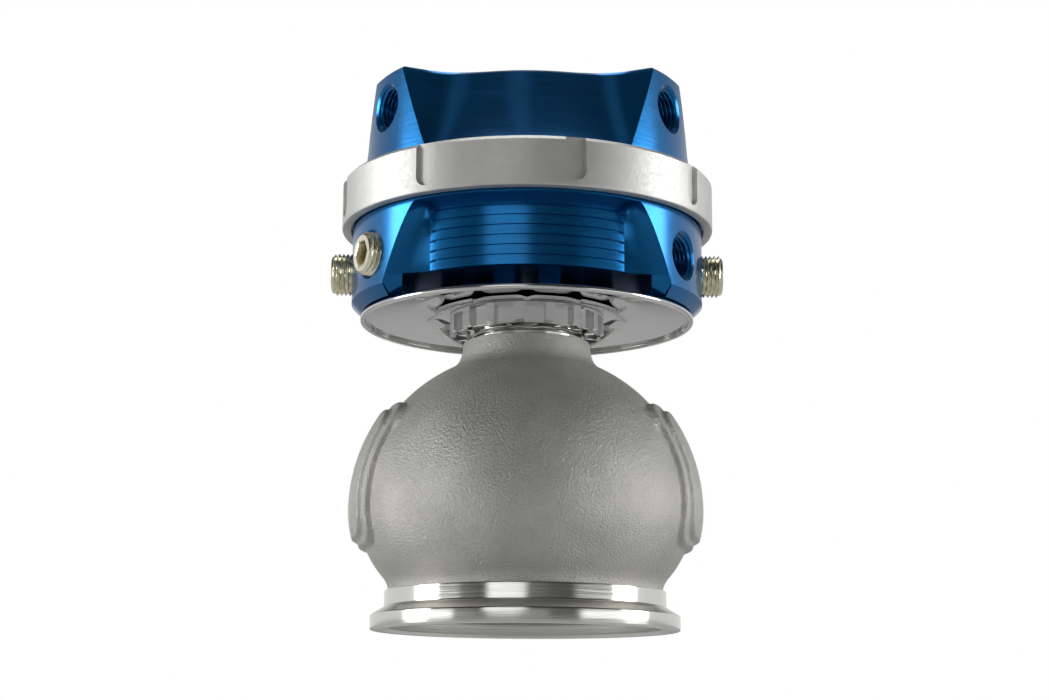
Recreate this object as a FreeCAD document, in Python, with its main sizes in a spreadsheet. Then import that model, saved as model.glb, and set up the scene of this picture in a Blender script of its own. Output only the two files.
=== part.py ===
import FreeCAD, Part

import math
import os

import Sketcher
from FreeCAD import Placement, Rotation, Vector

# External wastegate with a 60 mm valve: a cast valve housing with V-band flanges, a poppet
# valve, and a spring and diaphragm actuator that is clocked on the housing's threaded neck.
# Millimetres. The origin is the centre of the inlet flange's face, +Z runs up the valve's
# axis, and the outlet points along +Y. The seen front is -Y.

# ---------------------------------------------------------------- driving dimensions

SIZES = {
    # inlet flange and casting
    "flange_rim": 35.6,            # outer radius of the inlet V-band rim
    "flange_lip": 3.3,             # straight height of the rim
    "flange_rise": 1.9,            # height of the cone behind the rim
    "spigot_radius": 32.4,         # turned spigot above the cone
    "spigot_top": 8.9,
    "casting_foot": 31.6,          # radius where the casting leaves the spigot
    "casting_foot_rise": 0.8,
    "register_radius": 31.4,       # locating register in the inlet face
    "register_depth": 2.7,
    "ball_radius": 36.9,           # arc of the upper ball
    "ball_offset": 1.8,            # how far that arc's centre stands off the axis
    "ball_rise": 18.4,             # from the spigot to the widest ring of the ball
    "belly_radius": 22.95,         # arc of the lower ball
    "belly_drop": 15.9,            # height of the lower arc
    "casting_wall": 3.6,
    "neck_radius": 14.8,           # cast neck
    "neck_fillet": 3.0,
    "neck_height": 39.7,           # from the widest ring to the top of the cast neck
    "thread_radius": 13.5,         # M27 thread on the neck
    "neck_engagement": 3.7,        # length of neck thread inside the actuator
    "boss_radius": 11.5,           # guide boss that hangs in the cavity
    "boss_length": 23.0,           # how far the boss hangs below the cast neck
    "name_plate_below": 8.8,       # bare raised plates, below and above the widest ring
    "name_plate_above": 23.2,
    "name_plate_half_width": 17.0,
    "name_plate_corner": 5.0,
    "name_plate_rise": 2.3,
    "name_plate_step": 1.7,
    # outlet
    "outlet_lift": 8.2,            # outlet line above the widest ring
    "outlet_face": 52.0,           # distance of the outlet's face from the axis
    "outlet_rim": 31.6,
    "outlet_lip": 2.6,
    "outlet_rise": 1.7,
    "outlet_tube": 28.2,
    "outlet_bore": 24.6,
    "outlet_register_radius": 27.4,
    "outlet_register_depth": 2.0,
    # valve and seat
    "seat_pocket_radius": 29.4,
    "seat_shoulder_radius": 28.6,
    "seat_height": 6.8,
    "seat_throat": 25.5,
    "seat_face": 2.2,              # width and height of the 45 degree seat face
    "seat_gap": 0.12,
    "head_edge": 1.4,
    "head_cone": 2.2,
    "head_dish": 1.2,
    "stem_radius": 4.0,
    "stem_flare": 8.0,
    "stem_thread_radius": 3.0,
    "running_clearance": 0.04,     # radial, stem in its guides and neck in its hub
    "seated_clearance": 0.02,      # radial, parts pressed or screwed together
    # guide
    "guide_radius": 8.0,
    "guide_drop": 4.0,             # guide below the boss
    "guide_depth": 5.9,            # guide below the end of the neck
    "stem_seal_height": 3.0,
    "seal_retainer_height": 1.2,
    # nut, washer, shield
    "nut_radius": 18.2,
    "nut_gap": 1.8,                # between the cast neck and the nut
    "nut_height": 5.0,
    "nut_slot_width": 5.0,
    "nut_slot_depth": 1.3,
    "nut_top_ring": 0.9,
    "nut_chamfer": 0.8,
    "nut_slots": 16,
    "washer_thickness": 0.8,
    "washer_valley": 19.3,
    "washer_tip": 26.0,
    "washer_tips": 12,
    "shield_thickness": 0.9,
    "shield_inset": 2.05,          # shield rim inside the base
    "shield_flat": 26.6,
    "shield_drop": 3.1,
    "shield_bead": 1.5,
    # actuator base
    "post_height": 2.2,
    "post_radius": 20.4,
    "post_root": 14.6,
    "post_angle": 15.0,
    "posts": 12,
    "base_shoulder": 0.8,          # step from the base's thread to its outside
    "scallop_depth": 5.4,
    "band_angle": 37.0,            # half angle of the straight cylinder band at the front
    "flare_middle_angle": 44.5,
    "flare_low_angle": 50.5,
    "skirt_drop": 4.2,
    "skirt_chamfer": 2.4,
    "skirt_wall": 4.7,
    "base_height": 16.5,           # from the underside to the collar's shoulder
    "base_thread_radius": 40.6,
    "base_thread_length": 6.8,
    "base_wall": 7.6,
    "base_floor": 2.6,             # thickness of the floor
    "hub_radius": 17.0,
    "hub_web": 4.0,
    "rod_bush_radius": 7.0,
    "rod_seal_height": 1.4,
    "port_radius": 5.0,            # M10 x 1 ports
    "port_countersink": 0.75,
    "base_port_rise": 6.0,         # above the underside
    "base_port_angle": 60.0,
    "groove_pitch": 2.27,
    "groove_width": 0.4,
    "groove_depth": 0.35,
    "first_groove_rise": 2.3,
    "grooves": 6,
    # plugs
    "plug_length": 9.8,
    "plug_hex": 5.0,               # across flats
    "plug_hex_depth": 5.2,
    "plug_chamfer": 0.5,
    "side_plug_proud": 4.85,       # how far the plugs stand out of the base
    "front_plug_proud": 2.1,
    # diaphragm group
    "plate_inset": 1.6,
    "plate_gap": 0.6,              # over the hub when the valve is shut
    "plate_thickness": 2.4,
    "diaphragm_thickness": 1.2,
    "roll_gap": 1.6,               # rolled wall to the chamber
    "roll_width": 8.4,             # annulus that the diaphragm spans
    "piston_floor": 2.4,
    "piston_height": 6.4,
    "piston_wall": 1.8,
    "stem_washer_radius": 8.0,
    "stem_washer_thickness": 1.0,
    "stem_nut_flats": 10.0,
    "stem_nut_height": 4.5,
    "stem_end": 1.2,               # thread beyond the nut
    # springs
    "spring_gap": 0.5,             # outer spring inside the piston's wall
    "outer_spring_wire": 3.2,
    "outer_spring_turns": 4.5,
    "spring_space": 2.65,          # between the two springs
    "inner_spring_wire": 2.5,
    "inner_spring_turns": 4.5,
    # cap
    "cap_flange_gap": 0.3,
    "cap_flange_thickness": 1.5,
    "cap_gap": 0.4,                # cap inside the collar's lip
    "cap_rise": 2.7,
    "cap_height": 21.1,
    "cap_wall": 3.5,
    "piston_gap": 2.1,             # round the piston in the cap
    "cap_roof": 4.9,
    "cap_chamfer": 0.6,
    "ear_proud": 0.1,              # port flat outside the cap's base
    "ear_draft": 1.2,
    "ear_flat_half_width": 6.8,
    "ear_corner_half_width": 10.8,
    "ear_corner_back": 1.9,
    "ear_corner_round": 5.5,
    "ear_root_low": 14.5,          # half width of the ear where it leaves the hump
    "ear_root_high": 4.4,
    "ear_root": 20.0,
    "ears": 3,
    "cap_port_drop": 8.5,          # below the cap's top
    # collar
    "collar_wall": 3.4,
    "collar_drop": 0.6,            # collar below the shoulder
    "collar_lip_height": 1.3,
    "collar_lip": 1.1,             # lip inside the thread
    "collar_mouth_gap": 0.4,
    "collar_mouth": 1.2,
    "collar_chamfer": 0.9,
    "collar_slots": 8,
    "collar_slot_width": 4.6,
    "collar_slot_depth": 1.0,
    "collar_slot_bottom": 1.2,
    "collar_turn": 14.0,           # where the first slot stands, in degrees from the front
}

doc = FreeCAD.newDocument("wastegate")
sheet = doc.addObject("Spreadsheet::Sheet", "Sizes")


class Dim:
    """A size with its value and the sheet expression that gives it."""

    def __init__(self, value, text):
        self.value = value
        self.text = text

    @staticmethod
    def of(other):
        return other if isinstance(other, Dim) else Dim(float(other), repr(float(other)))

    def __add__(self, other):
        other = Dim.of(other)
        return Dim(self.value + other.value, f"({self.text} + {other.text})")

    def __sub__(self, other):
        other = Dim.of(other)
        return Dim(self.value - other.value, f"({self.text} - {other.text})")

    def __mul__(self, other):
        other = Dim.of(other)
        return Dim(self.value * other.value, f"({self.text} * {other.text})")

    def __truediv__(self, other):
        other = Dim.of(other)
        return Dim(self.value / other.value, f"({self.text} / {other.text})")

    def __neg__(self):
        return self * -1

    __radd__ = __add__
    __rmul__ = __mul__


def root(dim):
    return Dim(math.sqrt(dim.value), f"sqrt({dim.text})")


def sine(angle):
    angle = Dim.of(angle)
    return Dim(math.sin(math.radians(angle.value)), f"sin({angle.text})")


def cosine(angle):
    angle = Dim.of(angle)
    return Dim(math.cos(math.radians(angle.value)), f"cos({angle.text})")


def leg(hypotenuse, other):
    """The other leg of a right triangle."""
    return root(hypotenuse * hypotenuse - other * other)


class Sheet:
    """Reads the sheet's aliases as sizes: S.stem_radius."""

    def __getattr__(self, alias):
        return Dim(float(sheet.get(alias)), f"Sizes.{alias}")


def fill_sheet():
    for row, (alias, value) in enumerate(SIZES.items(), start=1):
        sheet.set(f"A{row}", str(value))
        sheet.setAlias(f"A{row}", alias)
    doc.recompute()


fill_sheet()
S = Sheet()

# ---------------------------------------------------------------- helpers


def bind(feature, **sizes):
    for prop, dim in sizes.items():
        dim = Dim.of(dim)
        if isinstance(getattr(feature, prop), int):
            setattr(feature, prop, round(dim.value))
        else:
            setattr(feature, prop, dim.value)
        feature.setExpression(prop, dim.text)
    return feature


def new_body(label):
    body = doc.addObject("PartDesign::Body", label)
    body.Label = label
    return body


def plane(body, role):
    return next(item for item in body.Origin.OriginFeatures if item.Role == role)


def outline(body, name, role, corners, offset=None):
    """A closed sketch. A corner is (across, up) or (across, up, radius) when an arc of that
    radius runs from it to the next corner; a negative radius bulges to the left of the way."""
    sketch = body.newObject("Sketcher::SketchObject", name)
    sketch.AttachmentSupport = (plane(body, role), "")
    sketch.MapMode = "FlatFace"
    if offset is not None:
        offset = Dim.of(offset)
        sketch.AttachmentOffset = Placement(Vector(0, 0, offset.value), Rotation())
        sketch.setExpression(".AttachmentOffset.Base.z", offset.text)
    corners = [tuple(Dim.of(item) for item in corner) for corner in corners]
    points = [Vector(corner[0].value, corner[1].value, 0) for corner in corners]
    following = points[1:] + points[:1]
    ends = []
    for index, corner in enumerate(corners):
        start, end = points[index], following[index]
        if len(corner) == 2:
            sketch.addGeometry(Part.LineSegment(start, end), False)
            ends.append((1, 2))
        else:
            sketch.addGeometry(arc_between(start, end, corner[2].value), False)
            ends.append((1, 2) if corner[2].value > 0 else (2, 1))
    count = len(corners)
    for index in range(count):
        after = (index + 1) % count
        sketch.addConstraint(
            Sketcher.Constraint("Coincident", index, ends[index][1], after, ends[after][0])
        )
    for index, corner in enumerate(corners):
        for kind, dim in (("DistanceX", corner[0]), ("DistanceY", corner[1])):
            place = sketch.addConstraint(
                Sketcher.Constraint(kind, -1, 1, index, ends[index][0], dim.value)
            )
            sketch.setExpression(f"Constraints[{place}]", dim.text)
        if len(corner) == 3:
            size = corner[2] if corner[2].value > 0 else -corner[2]
            place = sketch.addConstraint(Sketcher.Constraint("Radius", index, size.value))
            sketch.setExpression(f"Constraints[{place}]", size.text)
    return sketch


def arc_between(start, end, radius):
    """The short arc from start to end: counterclockwise when the radius is positive."""
    if radius < 0:
        return arc_between(end, start, -radius)
    chord = end - start
    middle = (start + end) * 0.5
    rise = math.sqrt(radius * radius - chord.Length * chord.Length / 4)
    left = Vector(-chord.y, chord.x, 0).normalize()
    centre = middle + left * rise
    first = math.atan2(start.y - centre.y, start.x - centre.x)
    last = math.atan2(end.y - centre.y, end.x - centre.x)
    return Part.ArcOfCircle(Part.Circle(centre, Vector(0, 0, 1), radius), first, last)


def circle(body, name, role, radius, across=0, up=0, offset=None):
    sketch = body.newObject("Sketcher::SketchObject", name)
    sketch.AttachmentSupport = (plane(body, role), "")
    sketch.MapMode = "FlatFace"
    if offset is not None:
        offset = Dim.of(offset)
        sketch.AttachmentOffset = Placement(Vector(0, 0, offset.value), Rotation())
        sketch.setExpression(".AttachmentOffset.Base.z", offset.text)
    radius, across, up = Dim.of(radius), Dim.of(across), Dim.of(up)
    centre = Vector(across.value, up.value, 0)
    sketch.addGeometry(Part.Circle(centre, Vector(0, 0, 1), radius.value), False)
    place = sketch.addConstraint(Sketcher.Constraint("Radius", 0, radius.value))
    sketch.setExpression(f"Constraints[{place}]", radius.text)
    for kind, dim in (("DistanceX", across), ("DistanceY", up)):
        place = sketch.addConstraint(Sketcher.Constraint(kind, -1, 1, 0, 3, dim.value))
        sketch.setExpression(f"Constraints[{place}]", dim.text)
    return sketch


def feature(body, kind, name, profile, **settings):
    made = body.newObject(f"PartDesign::{kind}", name)
    made.Profile = profile
    for prop, value in settings.items():
        setattr(made, prop, value)
    return made


def turned(body, name, corners, kind="Revolution"):
    """Turns a half section, given as (radius, height) corners, about the body's Z axis."""
    sketch = outline(body, name + "_section", "XZ_Plane", corners)
    made = feature(body, kind, name, sketch, ReferenceAxis=(sketch, ["V_Axis"]), Angle=360.0)
    return made


def radial_turn(body, name, corners, height, angle, kind):
    """Turns a half section about a level line through the Z axis. A corner is (distance from
    the Z axis, radius about the line), and angle is where the line points, from the front."""
    lifted = [(corner[0], corner[1] + height) + tuple(corner[2:]) for corner in corners]
    sketch = outline(body, name + "_section", "XZ_Plane", lifted)
    turn = Rotation(Vector(0, 1, 0), Dim.of(angle).value - 90)
    sketch.AttachmentOffset = Placement(Vector(), turn)
    start = Vector(0, height.value, 0)
    end = Vector(S.base_radius.value, height.value, 0)
    line = sketch.addGeometry(Part.LineSegment(start, end), True)
    for point in (1, 2):
        place = sketch.addConstraint(
            Sketcher.Constraint("DistanceY", -1, 1, line, point, height.value)
        )
        sketch.setExpression(f"Constraints[{place}]", height.text)
    return feature(body, kind, name, sketch, ReferenceAxis=(sketch, ["Axis0"]), Angle=360.0)


def ring(label, inner, outer, bottom, top):
    """A plain washer or sleeve."""
    body = new_body(label)
    turned(body, "turned", [(inner, bottom), (outer, bottom), (outer, top), (inner, top)])
    return body


def z_axis(body):
    return (plane(body, "Z_Axis"), [""])


def cut_check(body, before, what):
    """Stops when a cut took nothing away."""
    doc.recompute()
    if body.Shape.Volume >= before - 0.01:
        raise RuntimeError(f"{body.Label}: {what} cut nothing")


# ---------------------------------------------------------------- places worked out
# Each of these follows from the driving dimensions, so that pieces that meet stay together.

# housing
S.ball_height = S.spigot_top + S.ball_rise
S.neck_top = S.ball_height + S.neck_height
S.boss_bottom = S.neck_top - S.boss_length
S.name_plate_low = S.ball_height - S.name_plate_below
S.name_plate_high = S.ball_height + S.name_plate_above
S.outlet_height = S.ball_height + S.outlet_lift
S.seat_top = S.register_depth + S.seat_height
S.nut_bottom = S.neck_top + S.nut_gap
nut_top = S.nut_bottom + S.nut_height
washer_top = nut_top + S.washer_thickness
post_bottom = washer_top + S.shield_thickness
base_underside = post_bottom + S.post_height
S.thread_top = base_underside + S.neck_engagement
S.guide_top = S.thread_top - S.guide_depth
head_radius = S.seat_throat + S.seat_face

# actuator, outwards and inwards from the base's thread
S.base_radius = S.base_thread_radius + S.base_shoulder
S.band_radius = S.base_radius - S.scallop_depth
S.skirt_bore = S.base_radius - S.skirt_wall
S.chamber_radius = S.base_thread_radius - S.base_wall
S.shield_radius = S.base_radius - S.shield_inset
S.side_plug_end = S.base_radius + S.side_plug_proud
S.front_plug_end = S.base_radius + S.front_plug_proud
S.collar_radius = S.base_thread_radius + S.collar_wall
S.collar_lip_radius = S.base_thread_radius - S.collar_lip
S.collar_mouth_radius = S.base_radius + S.collar_mouth_gap
S.cap_flange_radius = S.base_thread_radius - S.cap_flange_gap
S.cap_radius = S.collar_lip_radius - S.cap_gap
S.ear_flat_low = S.cap_radius + S.ear_proud
S.ear_flat_high = S.ear_flat_low - S.ear_draft
S.diaphragm_roll = S.chamber_radius - S.roll_gap
S.piston_radius = S.chamber_radius - S.roll_width
S.plate_radius = S.piston_radius - S.plate_inset
piston_outer = S.piston_radius - S.diaphragm_thickness
piston_inner = piston_outer - S.piston_wall
S.cap_bore = piston_outer + S.piston_gap
S.hump_radius = S.cap_bore + S.cap_wall
S.outer_spring_radius = piston_inner - S.spring_gap - S.outer_spring_wire / 2
inner_spring_outer = S.outer_spring_radius - S.outer_spring_wire / 2 - S.spring_space
S.inner_spring_radius = inner_spring_outer - S.inner_spring_wire / 2

# actuator, upwards from the base's underside
floor_top = base_underside + S.base_floor
S.skirt_bottom = base_underside - S.skirt_drop
S.base_port_height = base_underside + S.base_port_rise
S.first_groove = base_underside + S.first_groove_rise
S.shoulder_height = base_underside + S.base_height
S.base_top = S.shoulder_height + S.base_thread_length
S.hub_top = S.thread_top + S.hub_web
S.plate_bottom = S.hub_top + S.plate_gap
diaphragm_bottom = S.plate_bottom + S.plate_thickness
diaphragm_top = diaphragm_bottom + S.diaphragm_thickness
piston_seat = diaphragm_top + S.piston_floor
stem_top = piston_seat + S.stem_washer_thickness + S.stem_nut_height + S.stem_end
clamp_top = S.base_top + S.diaphragm_thickness
flange_top = clamp_top + S.cap_flange_thickness
S.collar_bottom = S.shoulder_height - S.collar_drop
S.collar_top = flange_top + S.collar_lip_height
S.cap_ledge = flange_top + S.cap_rise
S.cap_top = S.cap_ledge + S.cap_height
S.cap_ceiling = S.cap_top - S.cap_roof
S.cap_port_height = S.cap_top - S.cap_port_drop

# ---------------------------------------------------------------- valve housing


def v_flange(rim, lip, rise, tube, face):
    """Corners of a V-band flange's outside, from its face up to the tube behind it."""
    return [(rim, face), (rim, face + lip), (tube, face + lip + rise)]


def casting_outside():
    """Half section of the casting: flange, spigot, ball and neck in one turned outline."""
    neck_centre_out = S.neck_radius + S.neck_fillet - S.ball_offset
    span = S.ball_radius + S.neck_fillet
    neck_rise = leg(span, neck_centre_out)
    blend_radius = S.ball_offset + neck_centre_out * S.ball_radius / span
    blend_height = S.ball_height + neck_rise * S.ball_radius / span
    widest = S.ball_offset + S.ball_radius
    belly_in = widest - S.belly_radius + leg(S.belly_radius, S.belly_drop)
    belly_low = S.ball_height - S.belly_drop
    return (
        [(0, 0)]
        + v_flange(S.flange_rim, S.flange_lip, S.flange_rise, S.spigot_radius, Dim.of(0))
        + [
            (S.spigot_radius, S.spigot_top),
            (S.casting_foot, S.spigot_top + S.casting_foot_rise),
            (belly_in, belly_low, S.belly_radius),
            (widest, S.ball_height, S.ball_radius),
            (blend_radius, blend_height, -S.neck_fillet),
            (S.neck_radius, S.ball_height + neck_rise),
            (S.neck_radius, S.neck_top),
            (S.thread_radius, S.neck_top + S.casting_foot_rise),
            (S.thread_radius, S.thread_top),
            (0, S.thread_top),
        ]
    )


def cavity():
    """Half section of the gas chamber: register, seat pocket, shoulder and the inner ball."""
    inner_ball = S.ball_radius - S.casting_wall
    inner_belly = S.belly_radius - S.casting_wall
    widest = S.ball_offset + inner_ball
    belly_low = S.belly_drop - S.casting_wall
    boss_height = S.ball_height + leg(inner_ball, S.boss_radius - S.ball_offset)
    return [
        (0, -1),
        (S.register_radius, -1),
        (S.register_radius, S.register_depth),
        (S.seat_pocket_radius, S.register_depth),
        (S.seat_pocket_radius, S.seat_top),
        (S.seat_shoulder_radius, S.seat_top),
        (widest - inner_belly + leg(inner_belly, belly_low), S.ball_height - belly_low, inner_belly),
        (widest, S.ball_height, inner_ball),
        (S.boss_radius, boss_height),
        (S.boss_radius, S.boss_bottom),
        (0, S.boss_bottom),
    ]


def name_plate(name, rise, inset):
    """Two bare raised plates, one on each side of the ball, that follow its curve."""
    form = new_body(name + "_form")
    outer = S.ball_radius + rise
    inner = S.ball_radius - S.casting_wall / 2
    low = S.ball_height - S.name_plate_low + 2
    high = S.name_plate_high - S.ball_height + 2
    turned(
        form,
        "shell",
        [
            (S.ball_offset + leg(inner, low), S.ball_height - low),
            (S.ball_offset + leg(outer, low), S.ball_height - low, outer),
            (S.ball_offset + leg(outer, high), S.ball_height + high),
            (S.ball_offset + leg(inner, high), S.ball_height + high, -inner),
        ],
    )
    slab = new_body(name + "_slab")
    half = S.name_plate_half_width - inset
    low, high = S.name_plate_low + inset, S.name_plate_high - inset
    sketch = rounded_box(slab, "edge", "YZ_Plane", -half, low, half, high, S.name_plate_corner)
    pad = feature(slab, "Pad", "through", sketch, Midplane=True)
    bind(pad, Length=S.base_radius * 4)
    common = doc.addObject("Part::Common", name)
    common.Base = form
    common.Tool = slab
    return common


def rounded_box(body, name, role, left, low, right, high, corner, offset=None):
    """A rectangle with four round corners."""
    left, low, right, high = [Dim.of(item) for item in (left, low, right, high)]
    return outline(
        body,
        name,
        role,
        [
            (left + corner, low),
            (right - corner, low, corner),
            (right, low + corner),
            (right, high - corner, corner),
            (right - corner, high),
            (left + corner, high, corner),
            (left, high - corner),
            (left, low + corner, corner),
        ],
        offset,
    )


def outlet_outside(body):
    """The outlet's tube and V-band flange, turned about a level line."""
    behind = S.outlet_face - S.outlet_lip - S.outlet_rise
    corners = [
        (S.ball_offset, 0),
        (S.outlet_face, 0),
        (S.outlet_face, S.outlet_rim),
        (S.outlet_face - S.outlet_lip, S.outlet_rim),
        (behind, S.outlet_tube),
        (S.ball_offset, S.outlet_tube),
    ]
    return radial_turn(body, "outlet", corners, S.outlet_height, 180, "Revolution")


def valve_housing():
    casting = new_body("casting")
    turned(casting, "outside", casting_outside())
    outlet_outside(casting)
    plates = [
        name_plate("plate_border", S.name_plate_rise - 1, 0),
        name_plate("plate_field", S.name_plate_rise, S.name_plate_step),
    ]
    chamber = new_body("chamber")
    turned(chamber, "hollow", cavity())
    outlet_bore = new_body("outlet_bore_form")
    mouth = S.outlet_face - S.outlet_register_depth
    corners = [
        (0, 0),
        (S.outlet_face + 1, 0),
        (S.outlet_face + 1, S.outlet_register_radius),
        (mouth, S.outlet_register_radius),
        (mouth, S.outlet_bore),
        (0, S.outlet_bore),
    ]
    radial_turn(outlet_bore, "bore", corners, S.outlet_height, 180, "Revolution")
    guide_bore = new_body("guide_bore_form")
    turned(
        guide_bore,
        "bore",
        [
            (0, S.boss_bottom - 1),
            (S.guide_radius, S.boss_bottom - 1),
            (S.guide_radius, S.thread_top + 1),
            (0, S.thread_top + 1),
        ],
    )
    solid = doc.addObject("Part::MultiFuse", "housing_solid")
    solid.Shapes = [casting] + plates
    guard = doc.addObject("Part::Cut", "outlet_way")
    guard.Base = outlet_bore
    guard.Tool = boss_guard()
    hollow = doc.addObject("Part::MultiFuse", "housing_hollow")
    hollow.Shapes = [chamber, guard, guide_bore]
    housing = doc.addObject("Part::Cut", "valve_housing")
    housing.Base = solid
    housing.Tool = hollow
    return housing


def boss_guard():
    """Keeps the outlet's bore from cutting the guide boss."""
    guard = doc.addObject("Part::Cylinder", "boss_guard")
    bind(guard, Radius=S.boss_radius, Height=S.thread_top)
    guard.Placement = Placement(Vector(0, 0, S.boss_bottom.value), Rotation())
    guard.setExpression(".Placement.Base.z", S.boss_bottom.text)
    return guard


# ---------------------------------------------------------------- valve, seat and guide


def seat_ring():
    body = new_body("seat_ring")
    outer = S.seat_pocket_radius - S.seated_clearance
    turned(
        body,
        "turned",
        [
            (S.seat_throat, S.register_depth),
            (outer, S.register_depth),
            (outer, S.seat_top),
            (S.seat_throat + S.seat_face, S.seat_top),
            (S.seat_throat, S.seat_top - S.seat_face),
        ],
    )
    return body


def valve():
    """Poppet: dished head, 45 degree face, flared stem, and a thread for the piston."""
    body = new_body("valve")
    gap = S.seat_gap
    face_low = S.seat_top - S.seat_face + gap
    rim_low = S.seat_top + gap
    back = rim_low + S.head_edge + S.head_cone
    turned(
        body,
        "turned",
        [
            (0, face_low + S.head_dish),
            (S.seat_throat - 6, face_low),
            (S.seat_throat, face_low),
            (head_radius, rim_low),
            (head_radius, rim_low + S.head_edge),
            (S.stem_radius + S.stem_flare, back, -S.stem_flare),
            (S.stem_radius, back + S.stem_flare),
            (S.stem_radius, S.plate_bottom),
            (S.stem_thread_radius, S.plate_bottom),
            (S.stem_thread_radius, stem_top - 0.5),
            (S.stem_thread_radius - 0.5, stem_top),
            (0, stem_top),
        ],
    )
    return body


def stem_parts():
    """What the stem runs through: guide, seal and retainer in the neck, bush and rod seal
    in the actuator's hub."""
    bore = S.stem_radius + S.running_clearance
    outer = S.guide_radius - S.seated_clearance
    seal_top = S.guide_top + S.stem_seal_height
    rod_outer = S.rod_bush_radius - S.seated_clearance
    rod_low = S.hub_top - S.rod_seal_height
    return [
        ring("valve_guide", bore, outer, S.boss_bottom - S.guide_drop, S.guide_top),
        ring("stem_seal", bore, outer, S.guide_top, seal_top),
        ring("seal_retainer", bore + 0.6, outer, seal_top, seal_top + S.seal_retainer_height),
        ring("rod_bush", bore, rod_outer, S.thread_top, rod_low),
        ring("rod_seal", bore, rod_outer, rod_low, S.hub_top),
    ]


# ---------------------------------------------------------------- nut, washer and shield


def castellated_nut():
    body = new_body("castellated_nut")
    bottom, top = S.nut_bottom, nut_top
    bore = S.thread_radius + S.seated_clearance
    foot = S.nut_radius - S.nut_slot_depth - S.nut_chamfer
    turned(
        body,
        "turned",
        [
            (bore, bottom),
            (foot, bottom),
            (S.nut_radius, bottom + S.nut_chamfer),
            (S.nut_radius, top - S.nut_chamfer / 2),
            (S.nut_radius - S.nut_chamfer / 2, top),
            (bore, top),
        ],
    )
    before = volume(body)
    half = S.nut_slot_width / 2
    slot = outline(
        body,
        "slot",
        "XZ_Plane",
        [
            (-half, bottom - 1),
            (half, bottom - 1),
            (half, top - S.nut_top_ring),
            (-half, top - S.nut_top_ring),
        ],
        S.nut_radius + 1,
    )
    pocket = feature(body, "Pocket", "slot_cut", slot)
    bind(pocket, Length=S.nut_slot_depth + 1)
    repeat(body, "slots", pocket, S.nut_slots)
    cut_check(body, before, "slots")
    return body


def volume(body):
    doc.recompute()
    return body.Shape.Volume


def repeat(body, name, original, count):
    pattern = body.newObject("PartDesign::PolarPattern", name)
    pattern.Originals = [original]
    pattern.Axis = z_axis(body)
    pattern.Angle = 360.0
    bind(pattern, Occurrences=count)
    body.Tip = pattern
    return pattern


def star_washer():
    """Lock washer with pointed tabs."""
    body = new_body("star_washer")
    bottom = nut_top
    bore = S.thread_radius + S.seated_clearance
    turned(
        body,
        "disc",
        [
            (bore, bottom),
            (S.washer_valley, bottom),
            (S.washer_valley, bottom + S.washer_thickness),
            (bore, bottom + S.washer_thickness),
        ],
    )
    half = Dim.of(180) / S.washer_tips
    across = S.washer_valley * sine(half)
    out = S.washer_valley * cosine(half)
    tab = outline(
        body, "tab", "XY_Plane", [(-across, -out), (0, -S.washer_tip), (across, -out)], bottom
    )
    pad = feature(body, "Pad", "tab_pad", tab)
    bind(pad, Length=S.washer_thickness)
    repeat(body, "tabs", pad, S.washer_tips)
    return body


def heat_shield():
    """Pressed dish with a rolled rim."""
    body = new_body("heat_shield")
    under = washer_top
    thick = S.shield_thickness
    bead = S.shield_bead
    rim = S.shield_radius
    low = under - S.shield_drop
    bore = S.thread_radius + S.running_clearance
    turned(
        body,
        "pressed",
        [
            (bore, under),
            (S.shield_flat, under),
            (rim - bead, low + bead / 4),
            (rim - bead / 2, low),
            (rim, low + bead / 4),
            (rim, low + bead * 3 / 4),
            (rim - bead / 2, low + bead),
            (rim - bead, low + bead * 3 / 4),
            (S.shield_flat, under + thick),
            (bore, under + thick),
        ],
    )
    return body


# ---------------------------------------------------------------- actuator base


def base_section():
    """Half section of the base: skirt, shoulder, thread, chamber and the hub on the neck."""
    neck_bore = S.thread_radius + S.running_clearance
    return [
        (neck_bore, base_underside),
        (S.skirt_bore, base_underside),
        (S.skirt_bore, S.skirt_bottom),
        (S.base_radius - S.skirt_chamfer, S.skirt_bottom),
        (S.base_radius, S.skirt_bottom + S.skirt_chamfer),
        (S.base_radius, S.shoulder_height),
        (S.base_thread_radius, S.shoulder_height),
        (S.base_thread_radius, S.base_top),
        (S.chamber_radius, S.base_top),
        (S.chamber_radius, floor_top),
        (S.hub_radius, floor_top),
        (S.hub_radius, S.hub_top),
        (S.rod_bush_radius, S.hub_top),
        (S.rod_bush_radius, S.thread_top),
        (neck_bore, S.thread_top),
    ]


def scallop_corners(angle):
    """Plan of what is cut from the base beside its front band, at one height: outside the
    band's cylinder, out to the given half angle at the base's outer radius."""
    far = S.base_radius + 4
    inner_x, inner_y = S.band_radius * sine(S.band_angle), S.band_radius * cosine(S.band_angle)
    edge_x, edge_y = S.base_radius * sine(angle), S.base_radius * cosine(angle)
    out_x = inner_x + (edge_x - inner_x) * 1.6
    out_y = inner_y + (edge_y - inner_y) * 1.6
    return [
        (-inner_x, -inner_y, S.band_radius),
        (inner_x, -inner_y),
        (out_x, -out_y),
        (out_x, -(far + 6)),
        (-out_x, -(far + 6)),
        (-out_x, -out_y),
    ]


def scallop(body):
    """The cut in front of the band, lofted so that it flares out towards the bottom."""
    middle = (base_underside + S.shoulder_height) / 2
    heights = [S.skirt_bottom - 1, base_underside, middle, S.shoulder_height - 1.2]
    angles = [S.flare_low_angle, S.flare_low_angle, S.flare_middle_angle, S.band_angle + 0.6]
    sketches = [
        outline(body, f"scallop_{index}", "XY_Plane", scallop_corners(angle), height)
        for index, (angle, height) in enumerate(zip(angles, heights))
    ]
    cut = feature(body, "SubtractiveLoft", "scallop", sketches[0], Ruled=True)
    cut.Sections = sketches[1:]
    return cut


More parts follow.
